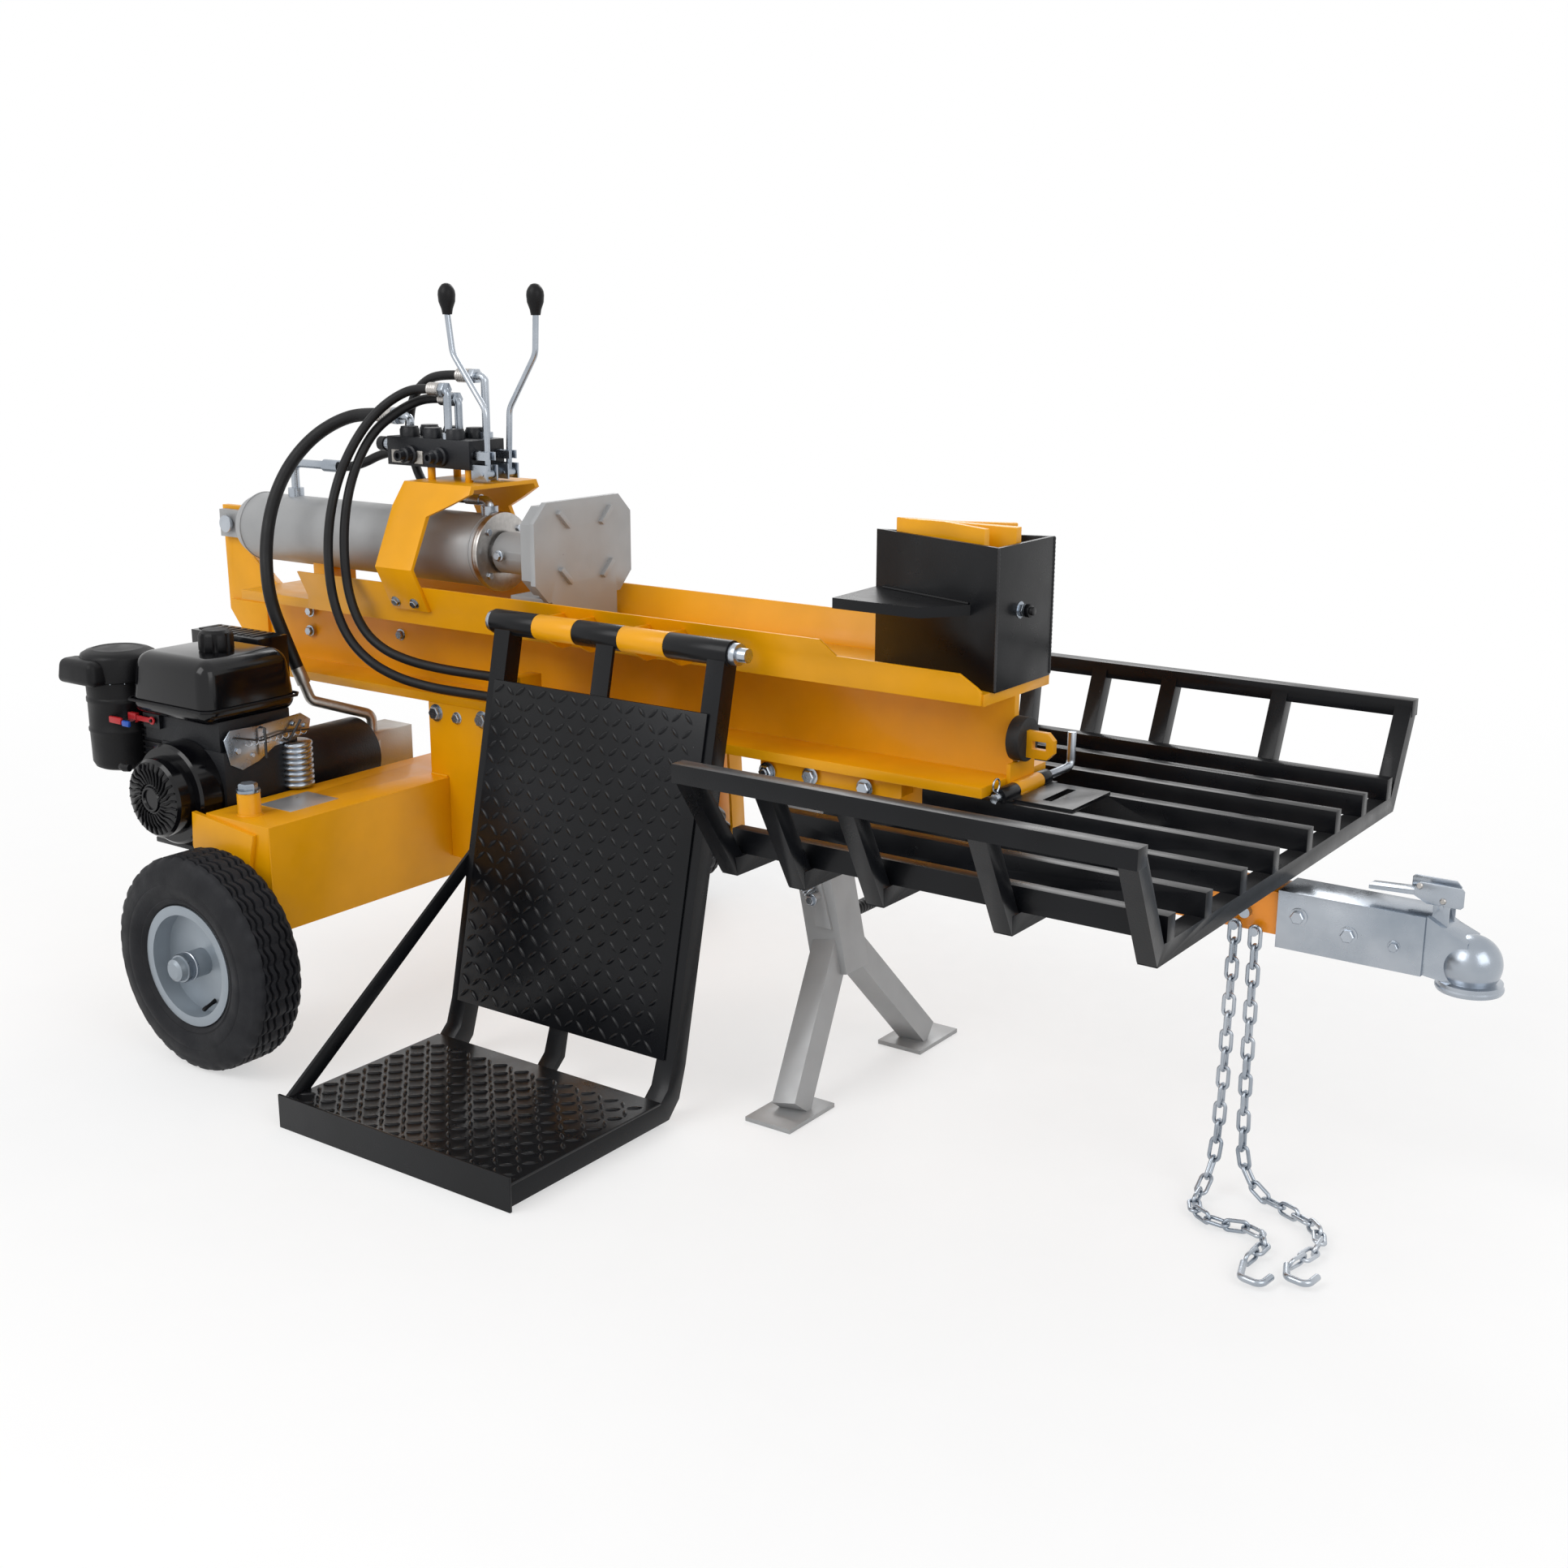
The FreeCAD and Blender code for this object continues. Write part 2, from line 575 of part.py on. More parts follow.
def beam():
    web = plate("web_form", "XZ", [
        ("lug_rear", "lug_top"), ("lug_rear + 3", "713"), ("lug_rear + 66", "644"),
        ("beam_rear", "beam_low + 6"), ("beam_end", "beam_low + 6"), ("beam_end", "beam_top - 6"),
        ("deck_rear", "beam_top - 6"), ("beam_rear + 6", "beam_top + 18"), ("lug_front", "beam_top + 62"),
        ("lug_front", "lug_top")], "-web_half", "web_half")
    top = block("top_flange_form", ("deck_rear", "beam_end"), ("-flange_half", "flange_half"),
                ("beam_top - top_flange", "beam_top"))
    low = block("low_flange_form", ("beam_rear", "beam_end"), ("-flange_half", "flange_half"),
                ("beam_low", "beam_low + low_flange"))
    saddle = block("saddle_form", ("saddle_x - 24", "saddle_x + 24"), ("-38", "38"),
                   ("beam_top - 1", "ram_height - barrel_radius + 12"))
    groove = rod("saddle_groove", "X", ("saddle_x - 30", "0", "ram_height"), "barrel_radius", "60")
    pin_hole = rod("anchor_hole", "Y", ("anchor_x", "-web_half - 1", "ram_height"),
                   "anchor_radius + shaft_play", "web_half * 2 + 2")
    doubler = plate("doubler_form", "XZ", [
        ("lug_rear + 16", "737"), ("beam_rear + 3", "737"), ("beam_rear + 3", "645"),
        ("lug_rear + 66", "650"), ("lug_rear + 16", "712")], "-web_half - doubler", "-web_half")
    end_plate = block("table_knuckle_plate", ("beam_end", "beam_end + 8"), ("-30", "55"),
                      ("hinge_z - 12", "hinge_z + 43"))
    knuckle = rod("table_knuckle", "Y", ("hinge_x", "-30", "hinge_z"), "hinge_tube", "85")
    knuckle_bore = rod("table_knuckle_bore", "Y", ("hinge_x", "-31", "hinge_z"), "hinge_pin + shaft_play",
                       "87")
    lug = plate("end_lug", "XZ", [
        ("beam_end - 1", "662"), ("beam_end + 62", "662"), ("beam_end + 74", "674"),
        ("beam_end + 74", "696"), ("beam_end + 62", "708"), ("beam_end - 1", "708")], "-6", "6")
    lug_hole = block("end_lug_slot", ("beam_end + 34", "beam_end + 60"), ("-10", "10"), ("678", "692"))
    whole = fuse("beam_sum", web, top, low, saddle, doubler, mirror("doubler_far", doubler), end_plate,
                 knuckle, lug)
    node("beam", cut("beam_solid", whole, groove, pin_hole, knuckle_bore, lug_hole))
    bumper = rod("bumper", "X", ("beam_end", "0", "692"), "38", "24")
    window = block("bumper_window", ("beam_end - 1", "beam_end + 25"), ("-6.3", "6.3"), ("661.7", "708.3"))
    node("end_bumper", cut("bumper_solid", bumper, window))

    shape = plate("wing_outline", "XZ", [
        ("wing_rear", "wing_foot - 1"), ("wing_rear", "wing_top"), ("1020", "wing_top"),
        ("1046", "wing_top - 28"), ("wing_front - 35", "wing_top - 30"), ("wing_front", "790"),
        ("wing_front", "wing_foot - 1")], "-flange_half - 60", "-flange_half + 1")
    wing = common("wing_form", wing_profile("wing_section", "wing_rear", "wing_front"), shape)
    node("wing_near", wing)
    node("wing_far", mirror("wing_mirror", wing))

    side = plate("pedestal_side", "XZ", [
        ("pedestal_rear", "beam_low"), ("pedestal_rear", "tank_high"), ("tank_front", "tank_high"),
        ("tank_front", "tank_low + 40"), ("tank_front + 45", "tank_low + 40"),
        ("pedestal_front", "tank_high + 60"), ("pedestal_front", "beam_low")],
        "-flange_half", "-flange_half + pedestal_plate")
    cross = block("pedestal_cross", ("pedestal_rear", "pedestal_rear + pedestal_plate"),
                  ("-flange_half + 1", "flange_half - 1"), ("tank_high", "beam_low"))
    shelf = block("pedestal_shelf", ("pedestal_rear", "pedestal_front"),
                  ("-flange_half + 1", "flange_half - 1"), ("beam_low - pedestal_plate", "beam_low"))
    node("pedestal", fuse("pedestal_solid", side, mirror("pedestal_far", side), cross, shelf))


# Main cylinder: barrel with tangs, piston, rod, gland, ports and anchor pin


def main_cylinder():
    barrel = turned("barrel_form", "X", [
        ("barrel_rear", "0"), ("barrel_rear", "barrel_radius - 26"),
        ("barrel_rear + 14", "barrel_radius - 9"),
        ("barrel_rear + 40", "barrel_radius"), ("gland_front", "barrel_radius"),
        ("gland_front", "bore_radius"), ("cap_end", "bore_radius"), ("cap_end", "0")],
        ("0", "0", "ram_height"))
    tang = block("tang_form", ("anchor_x - 32", "barrel_rear + 12"),
                 ("-web_half - 1 - tang_plate", "-web_half - 1"),
                 ("ram_height - tang_half", "ram_height + tang_half"))
    hole = rod("tang_hole", "Y", ("anchor_x", "-60", "ram_height"), "anchor_radius + shaft_play", "120")
    node("cylinder_barrel", cut("barrel_solid",
                                fuse("barrel_sum", barrel, tang, mirror("tang_far", tang)), hole))

    gland = turned("gland_form", "X", [
        ("gland_front - gland_depth", "rod_radius + shaft_play"),
        ("gland_front - gland_depth", "bore_radius"),
        ("gland_front", "bore_radius"), ("gland_front", "gland_radius"),
        ("gland_front + gland_flange", "gland_radius"),
        ("gland_front + gland_flange", "rod_radius + shaft_play")],
        ("0", "0", "ram_height"))
    node("cylinder_gland", gland)

    piston = turned("piston_form", "X", [
        ("piston_rear", "0"), ("piston_rear", "bore_radius - piston_gap"),
        ("piston_rear + piston_length", "bore_radius - piston_gap"), ("piston_rear + piston_length", "0")],
        ("0", "0", "ram_height"))
    node("piston_rod", piston, rod("rod_form", "X", ("piston_rear + piston_length", "0", "ram_height"),
                                   "rod_radius", "push_back - 10 - piston_rear - piston_length"))

    pin = rod("anchor_pin_form", "Y", ("anchor_x", "-web_half - tang_plate - 14", "ram_height"),
              "anchor_radius", "(web_half + tang_plate + 14) * 2")
    head = rod("anchor_head", "Y", ("anchor_x", "-web_half - tang_plate - 14", "ram_height"),
               "anchor_radius + 6", "6")
    clip = tube("anchor_clip", "Y", ("anchor_x", "web_half + tang_plate + 4", "ram_height"),
                "anchor_radius + 7", "anchor_radius", "3")
    node("anchor_pin", fuse("anchor_solid", pin, head), clip)

    low = "ram_height + barrel_radius - 9"
    boss_rear = rod("port_boss_rear", "Z", ("port_rear", "0", low), "port_radius", "26")
    boss_front = rod("port_boss_front", "Z", ("port_front", "0", low), "port_radius", "26")
    skin = rod("port_skin", "X", ("port_rear - 60", "0", "ram_height"), "barrel_radius",
               "port_front - port_rear + 120")

    top = s.ram_height + s.barrel_radius + 17
    rear = bent_rod("rear_elbow", [(s.port_rear, 0, top), (s.port_rear, 0, REAR_FERRULE[2]),
                                   (REAR_FERRULE[0] - 46, 0, REAR_FERRULE[2])], 9, 18)
    rear_nut = rod("rear_nut", "X", ("%g" % (REAR_FERRULE[0] - 46), "0", "%g" % REAR_FERRULE[2]),
                   "13", "46")
    front = bent_rod("front_elbow", [(s.port_front, 0, top - 24), (s.port_front, 0, FRONT_FERRULE[2]),
                                     (FRONT_FERRULE[0] + 40, 0, FRONT_FERRULE[2])], 9, 14)
    front_nut = rod("front_nut", "X", ("%g" % FRONT_FERRULE[0], "0", "%g" % FRONT_FERRULE[2]), "11", "40")
    node("cylinder_ports", cut("port_rear_solid", fuse("port_rear_sum", boss_rear, rear, rear_nut), skin),
         cut("port_front_solid", fuse("port_front_sum", boss_front, front, front_nut), skin))


# Push plate with its socket on the rod and its sliding foot on the beam


def push_plate():
    octagon = [("-push_half", "push_low + push_corner"), ("-push_half + push_corner", "push_low"),
               ("push_half - push_corner", "push_low"), ("push_half", "push_low + push_corner"),
               ("push_half", "push_high - push_corner"), ("push_half - push_corner", "push_high"),
               ("-push_half + push_corner", "push_high"), ("-push_half", "push_high - push_corner")]
    face = plate("push_face_form", "YZ", octagon, "push_face - push_plate", "push_face")
    smaller = [("(%s) * 0.9" % a, "(%s) * 0.9 + ram_height * 0.1 + 2.6" % b) for a, b in octagon]
    back = plate("push_back_form", "YZ", smaller, "push_back", "push_face - push_plate + 1")
    socket = rod("socket_form", "X", ("socket_rear", "0", "ram_height"), "socket_radius",
                 "push_back - socket_rear + 1")
    foot = block("foot_form", ("foot_rear", "push_face"), ("-foot_half", "foot_half"),
                 ("beam_top + seat_gap", "push_low + 4"))
    foot_rib = block("foot_rib", ("foot_rear + 8", "push_back + 1"), ("-8", "8"),
                     ("push_low + 2", "ram_height - socket_radius + 6"))
    bore = rod("socket_bore", "X", ("socket_rear - 1", "0", "ram_height"), "rod_radius",
               "push_back - 10 - socket_rear + 1")
    hole = rod("socket_hole", "Y", ("cross_pin_x", "-socket_radius - 5", "ram_height"), "cross_pin",
               "socket_radius * 2 + 10")
    cleats = []
    for number, (across, up, lean) in enumerate(((-60, 86, 1), (62, 84, -1), (-58, -22, 1), (64, -20, -1))):
        middle = V(s.push_face, across, s.ram_height + up)
        reach = V(0, 15 * lean, -15)
        cleats.append(bar("cleat_%d" % number, middle - reach, middle + reach, 2 * s.cleat_size,
                          s.cleat_size, (1, 0, 0)))
    solid = cut("push_solid", fuse("push_sum", face, back, socket, foot, foot_rib, *cleats), bore, hole)
    pin = rod("cross_pin_form", "Y", ("cross_pin_x", "-socket_radius - 9", "ram_height"), "cross_pin",
              "socket_radius * 2 + 18")
    rod_hole = doc.getObject("rod_form")
    node("push_plate", solid, cut("cross_pin_ends", pin, rod_hole))


# Wedge fixed on the beam and the four way wedge that slips over it


def wedges():
    edge_slope = "(box_half / (box_front - box_edge))"
    blade = plate("blade_form", "XY", [
        ("blade_edge", "0"), ("blade_edge + 32", "-blade_half"), ("blade_edge + 98", "-blade_half"),
        ("blade_back - 34", "-flare_half"), ("blade_back - 28", "-flare_half + 8"),
        ("blade_edge + 122", "-blade_half"), ("blade_back", "-blade_half"), ("blade_back", "blade_half"),
        ("blade_edge + 122", "blade_half"), ("blade_back - 28", "flare_half - 8"),
        ("blade_back - 34", "flare_half"), ("blade_edge + 98", "blade_half"),
        ("blade_edge + 32", "blade_half")], "beam_top", "blade_top")
    node("wedge_blade", blade)

    shell = plate("box_outer", "XY", [
        ("box_edge", "0"), ("box_front", "-box_half"), ("box_front", "box_half")],
        "beam_top + seat_gap", "box_top")
    inner_edge = "box_edge + box_wall / sin(atan(%s))" % edge_slope
    inner_half = "(box_front - box_wall - (%s)) * %s" % (inner_edge, edge_slope)
    room = plate("box_inner", "XY", [
        (inner_edge, "0"), ("box_front - box_wall", "-(%s)" % inner_half),
        ("box_front - box_wall", inner_half)], "beam_top - 1", "box_top + 1")
    fin = plate("fin_form", "XY", [
        ("box_edge", "0"), ("box_edge + 9", "-fin_half"), ("box_edge + 179", "-fin_half"),
        ("box_edge + 244", "-60"), ("box_edge + 244", "60"), ("box_edge + 179", "fin_half"),
        ("box_edge + 9", "fin_half")], "fin_low", "fin_low + fin_thick")
    bolt = rod("box_bolt", "X", ("box_front", "-18", "fin_low + 8"), "7", "26")
    body = cut("box_solid", fuse("box_sum", shell, fin), room)
    nut = rod("box_nut", "X", ("box_front + 12", "-18", "fin_low + 8"), "11", "8")
    node("four_way_wedge", body, fuse("box_bolt_solid", bolt, nut))


# Valve on its bracket, with two spools and two levers

PRESSURE_FERRULE = (-182, 4, 1166)
LIFT_A_FERRULE = (4, -34, 1226)
LIFT_B_FERRULE = (4, -4, 1206)
LOOP_FERRULE = (22, 30, 1251)
REAR_FERRULE = (-310, 0, 1053)
FRONT_FERRULE = (60, 0, 1010)
VALVE_REAR_PORT = (-134, 18, 1092)


def valve():
    foot = "flange_half + wing_sheet"
    knee = "%s + %s * (bracket_knee - wing_bend)" % (foot, "(wing_spread / (wing_top + 1 - wing_bend))")
    side = [("bracket_half", "bracket_top"), ("(%s) + bracket_sheet" % knee, "bracket_knee"),
            ("%s + bracket_sheet + 1" % foot, "wing_bend + 1"), ("%s + 0.5" % foot, "wing_bend + 1"),
            (knee, "bracket_knee"), ("bracket_half - bracket_sheet", "bracket_top - bracket_sheet")]
    loop = side + [("-(%s)" % a, b) for a, b in reversed(side)]
    bridge = plate("bracket_section", "YZ", loop, "bracket_rear", "bracket_front")
    shape = plate("bracket_outline", "XZ", [
        ("bracket_rear", "wing_bend"), ("bracket_rear + 101", "wing_bend"),
        ("bracket_rear + 101", "985"), ("bracket_front - 47", "1008"),
        ("bracket_front", "bracket_top - 16"), ("bracket_front", "bracket_top + 1"),
        ("bracket_rear + 14", "bracket_top + 1"), ("bracket_rear", "1000")], "-200", "200")
    body = block("valve_block", ("valve_rear", "valve_front"), ("-valve_half", "valve_half"),
                 ("valve_low", "valve_high"))
    bores = [rod("spool_bore_%d" % i, "X", ("valve_rear - 1", "%s * spool_y" % sign, "spool_z"),
                 "spool_radius + shaft_play", "valve_front - valve_rear + 2")
             for i, sign in enumerate(("-1", "1"))]
    node("valve_body", cut("valve_solid", body, *bores))
    posts = [rod("post_%d" % i, "Z", (x, y, "bracket_top"), "8", "valve_low - bracket_top")
             for i, (x, y) in enumerate((("0", "-36"), ("0", "36"), ("valve_front - 16", "-36"),
                                         ("valve_front - 16", "36")))]
    node("valve_bracket", common("bracket_solid", bridge, shape), *posts)

    for i, (name, sign) in enumerate((("split_spool", "-1"), ("lift_spool", "1"))):
        across = "%s * spool_y" % sign
        stem = rod(name + "_stem", "X", ("valve_rear + 14", across, "spool_z"), "spool_radius",
                   "valve_front - valve_rear - 4")
        collar = block(name + "_collar", ("valve_front + 9.9", "valve_front + 15"),
                       ("%s - 11" % across, "%s + 11" % across), ("spool_z - 8", "spool_z + 8"))
        cheeks = [block(name + "_cheek_%d" % j, ("valve_front + 14", "lever_x + 12"),
                        ("%s + %s" % (across, low), "%s + %s" % (across, high)),
                        ("spool_z - 8", "spool_z + 8"))
                  for j, (low, high) in enumerate((("-11", "-7.5"), ("7.5", "11")))]
        node(name, fuse(name + "_solid", stem, collar, *cheeks))

    ears = []
    for i, sign in enumerate(("-1", "1")):
        for j, (low, high) in enumerate((("-16", "-12"), ("12", "16"))):
            across = "%s * spool_y" % sign
            ears.append(block("ear_%d_%d" % (i, j), ("valve_front", "lever_x + 12"),
                              ("%s + %s" % (across, low), "%s + %s" % (across, high)),
                              ("lever_z - 12", "lever_z + 18")))
    pins = [rod("lever_pin_%d" % i, "Y", ("lever_x", "%s * spool_y - 18" % sign, "lever_z"),
                "lever_pin", "36") for i, sign in enumerate(("-1", "1"))]
    strap = block("ear_strap", ("valve_front", "valve_front + 4"),
                  ("-spool_y - 16", "spool_y + 16"), ("lever_z - 12", "lever_z + 12"))
    node("lever_yoke", fuse("yoke_solid", strap, *(ears + pins)))

    for name, side, first, second, tip in (
            ("split_lever", -1, (150, 1190), (66, 1297), (56, 1371)),
            ("lift_lever", 1, (157, 1190), (230, 1297), (234, 1371))):
        across = side * s.spool_y
        stem = bent_rod(name + "_stem", [
            (s.lever_x, across, s.lever_z + 2), (first[0], across, first[1]),
            (second[0], across, second[1]), (tip[0], across, s.knob_low)], s.lever_radius, 40)
        hub = tube(name + "_hub", "Y", ("lever_x", "%d * spool_y - 10" % side, "lever_z"),
                   "lever_hub", "lever_pin + shaft_play", "20")
        clear = rod(name + "_clear", "Y", ("lever_x", "%d * spool_y - 10" % side, "lever_z"),
                    "lever_pin + shaft_play", "20")
        knob = turned(name + "_knob", "Z", [
            ("knob_low", "0"), ("knob_low", "9"), ("knob_low + 10", "11"),
            ("knob_low + 24", "knob_radius - 1"),
            ("knob_high - 22", "knob_radius"), ("knob_high - 8", "knob_radius - 4"),
            ("knob_high - 2", "knob_radius - 9"), ("knob_high", "0")],
            ("%g" % tip[0], "%d * spool_y" % side, "0"))
        node(name, fuse(name + "_solid", cut(name + "_trim", stem, clear), hub),
             cut(name + "_knob_bored", knob, stem))


def fittings():
    """Steel elbows and ferrules on top of the valve, relief cap and rear port."""
    pieces = []
    risers = (("pressure", PRESSURE_FERRULE, PRESSURE_FERRULE[0] + 86, 13, 30),
              ("lift_a", LIFT_A_FERRULE, LIFT_A_FERRULE[0] + 46, 10, 34),
              ("lift_b", LIFT_B_FERRULE, LIFT_B_FERRULE[0] + 46, 10, 34),
              ("loop", LOOP_FERRULE, LOOP_FERRULE[0] + 70, 10, 40))
    for name, (x, y, z), foot, radius, length in risers:
        pieces.append(bent_rod("riser_" + name, [(foot, y, s.valve_high), (foot, y, z), (x + length, y, z)],
                               8, 11))
        pieces.append(rod("ferrule_" + name, "X", ("%g" % x, "%g" % y, "%g" % z), "%g" % radius,
                          "%g" % length))
        pieces.append(rod("base_nut_" + name, "Z", ("%g" % foot, "%g" % y, "valve_high"), "13", "12"))
    for piece in pieces[2::3]:
        number = pieces.index(piece)
        pieces[number] = cut(piece.Name + "_ring", piece, pieces[number - 2])
    cap = rod("relief_stem", "X", ("valve_rear - 26", "-30", "1112"), "12", "26")
    x, y, z = VALVE_REAR_PORT
    stub = rod("rear_port_stub", "X", ("%g" % x, "%g" % y, "%g" % z), "11", "valve_rear - (%g)" % x)
    node("valve_fittings", *pieces, cap, stub)


# Hoses, each with the points of its route


PRESSURE_ROUTE = [
    PRESSURE_FERRULE, (-240, 4, 1166), (-296, -12, 1150), (-342, -42, 1116), (-366, -84, 1066),
    (-368, -128, 1006), (-356, -166, 938), (-338, -192, 864), (-318, -202, 788), (-294, -192, 716),
    (-274, -180, 652)]
LIFT_A_ROUTE = [
    LIFT_A_FERRULE, (-36, -34, 1226), (-75, -42, 1213), (-107, -60, 1189), (-129, -86, 1155),
    (-144, -118, 1106), (-153, -150, 1044), (-155, -176, 966), (-147, -192, 884), (-132, -197, 806),
    (-100, -195, 738), (-46, -188, 692), (24, -178, 666), (104, -168, 655), (172, -158, 652),
    (238, -150, 651), (298, -150, 651)]
LIFT_B_ROUTE = [
    LIFT_B_FERRULE, (-34, -4, 1206), (-71, -14, 1194), (-102, -36, 1172), (-124, -68, 1142),
    (-134, -102, 1094), (-136, -134, 1032), (-133, -156, 960), (-125, -168, 884), (-110, -173, 812),
    (-78, -172, 752), (-28, -166, 716), (36, -156, 698), (108, -146, 690), (174, -136, 687),
    (238, -132, 687), (298, -132, 687)]
REAR_ROUTE = [VALVE_REAR_PORT, (-182, 18, 1092), (-262, 0, 1053), REAR_FERRULE]
LOOP_ROUTE = [
    LOOP_FERRULE, (-32, 30, 1251), (-80, 33, 1236), (-120, 40, 1206), (-144, 48, 1162), (-152, 53, 1114),
    (-145, 55, 1073), (-123, 50, 1036), (-88, 41, 1011), (-47, 29, 1003), (6, 0, 1010), FRONT_FERRULE]


def hoses():
    node("pressure_hose_line", hose("pressure_line", PRESSURE_ROUTE, s.pressure_hose))
    node("lift_hose_raise", hose("raise_line", LIFT_A_ROUTE, s.lift_hose))
    node("lift_hose_lower", hose("lower_line", LIFT_B_ROUTE, s.lift_hose))
    node("rear_port_hose", hose("rear_line", REAR_ROUTE, s.port_hose))
    node("front_port_hose", hose("front_line", LOOP_ROUTE, s.port_hose))


# Engine on its deck behind the tank, with bell housing, drive coupling and pump


def engine():
    base = "engine_deck + deck_plate"
    deck = block("deck_form", ("tank_rear - 225", "tank_rear"), ("-530", "-60"), ("engine_deck", base))
    node("engine_deck", deck)

    case = block("crankcase", ("crank_x - 80", "tank_rear - 8"), ("-520", "pto_face"), (base, "560"))
    head = block("cylinder_head", ("crank_x - 155", "crank_x - 79"), ("-505", "-362"), ("430", "592"))
    shroud = block("top_shroud", ("crank_x - 130", "tank_rear - 20"), ("-518", "-346"),
                   ("559", "fuel_low"))
    control = block("control_plate", ("crank_x - 125", "crank_x - 75"), ("-526", "-517"), ("584", "614"))
    pivot = rod("control_pivot", "Y", ("crank_x - 91", "-536", "600"), "3", "12")
    socket = rod("crank_socket", "Y", ("crank_x", "pto_face - 32", "crank_z"), "spindle_radius + shaft_play",
                 "33")
    node("engine_block", cut("engine_solid", fuse("engine_sum", case, head, shroud, control, pivot), socket))

    arm = block("throttle_arm", ("crank_x - 148", "crank_x - 91"), ("-533", "-529"), ("595", "605"))
    boss = rod("throttle_boss", "Y", ("crank_x - 91", "-533", "600"), "8", "4")
    grip = block("throttle_grip", ("crank_x - 160", "crank_x - 136"), ("-536", "-526"), ("591", "609"))
    eye = rod("throttle_eye", "Y", ("crank_x - 91", "-534", "600"), "3 + shaft_play", "6")
    node("throttle_lever", cut("throttle_solid", fuse("throttle_sum", arm, boss, grip), eye))

    blower = rod("blower", "Y", ("crank_x", "-572", "crank_z + 8"), "blower_radius", "52")
    recoil = rod("recoil", "Y", ("crank_x", "recoil_face", "crank_z + 8"), "78", "-572 - recoil_face + 1")
    grip = rod("starter_grip", "Y", ("crank_x - 50", "recoil_face - 16", "crank_z + 56"), "8", "30")
    node("recoil_starter", fuse("recoil_solid", blower, recoil, grip))

    tank_box = block("fuel_box", ("crank_x - 141", "tank_rear - 12"), ("-551", "-318"),
                     ("fuel_low", "fuel_high"))
    neck = rod("fuel_neck", "Z", ("fuel_cap_x", "fuel_cap_y", "fuel_high - 1"), "23", "22")
    node("fuel_tank", fuse("fuel_solid", tank_box, neck))
    node("fuel_cap", turned("fuel_cap_form", "Z", [
        ("0", "23 + seat_gap"), ("0", "fuel_cap_radius"), ("34", "fuel_cap_radius"),
        ("42", "fuel_cap_radius - 8"), ("42", "0"), ("22", "0"), ("22", "23 + seat_gap")],
        ("fuel_cap_x", "fuel_cap_y", "fuel_high + seat_gap")))

    air = turned("air_form", "Z", [
        ("air_low", "0"), ("air_low", "air_radius - 10"), ("air_low + 8", "air_radius"),
        ("air_high - 60", "air_radius"), ("air_high - 60", "air_radius + 8"),
        ("air_high - 12", "air_radius + 8"), ("air_high", "air_radius - 6"), ("air_high", "0")],
        ("air_x", "air_y", "0"))
    intake = block("intake", ("air_x + 30", "crank_x - 155"), ("air_y + 8", "air_y + 46"), ("540", "580"))
    snorkel = block("snorkel", ("air_x - 52", "air_x - 6"), ("air_y - air_radius - 30", "air_y - 40"),
                    ("air_high - 56", "air_high - 16"))
    node("air_cleaner", fuse("air_solid", air, intake, snorkel))

    muffler = block("muffler_box", ("-440", "-232"), ("-312", "-236"), ("620", "735"))
    pipe_down = bent_rod("exhaust", [(-328, -286, 621), (-328, -286, 540), (-328, -362, 540)], 13, 24)
    node("muffler_cover", fuse("muffler_solid", muffler, pipe_down))

    bell = tube("bell", "Y", ("crank_x", "pto_face", "crank_z"), "bell_radius", "bell_radius - bell_wall",
                "pump_face - pto_face")
    rear = rod("bell_rear", "Y", ("crank_x", "pump_face - 10", "crank_z"), "bell_radius", "10")
    way = rod("bell_way", "Y", ("crank_x", "pump_face - 12", "crank_z"), "20", "14")
    stand = block("bell_stand", ("crank_x - 24", "crank_x + 24"), ("pump_face - 90", "pump_face - 30"),
                  (base, "crank_z - bell_radius + 6"))
    node("bell_housing", cut("bell_solid", fuse("bell_sum", bell, rear, stand), way))
    shaft = rod("drive_shaft", "Y", ("crank_x", "pto_face - 28", "crank_z"), "spindle_radius",
                "pump_face - pto_face + 28 + 24")
    coupling = rod("drive_body", "Y", ("crank_x", "pto_face + 60", "crank_z"), "drive_radius", "120")
    node("drive_coupling", fuse("drive_solid", shaft, coupling))

    body = block("pump_body", ("crank_x - pump_half", "crank_x + pump_half"),
                 ("pump_face", "pump_face + pump_length"), ("crank_z - pump_half", "crank_z + pump_half"))
    socket = rod("pump_socket", "Y", ("crank_x", "pump_face - 1", "crank_z"), "spindle_radius + shaft_play",
                 "29")
    flange = block("pump_flange", ("crank_x - 58", "crank_x + 58"), ("pump_face", "pump_face + 14"),
                   ("crank_z - 30", "crank_z + 30"))
    end = V(*PRESSURE_ROUTE[-1])
    along = (end - V(*PRESSURE_ROUTE[-2])).normalize()
    port = V(s.crank_x + 14, s.pump_face + 32, s.crank_z + s.pump_half)
    elbow = bent_rod("pump_elbow", [port - V(0, 0, 8), port + V(0, 0, 34), end + along * 74,
                                    end + along * 20], 11, 18)
    ferrule = feature("pump_ferrule", Part.makeCylinder(14, 36, end, along))
    node("pump", cut("pump_solid", fuse("pump_sum", body, flange, elbow, ferrule), socket))


# Log lift: brackets on the beam, hinge pin, frame, plates


def lean_at(height, offset):
    """Place along Y of the lift arm's middle line at a height, moved outward by an offset."""
    return "lift_y - (lift_z - (%s)) * tan(lift_lean) - (%s)" % (height, offset)


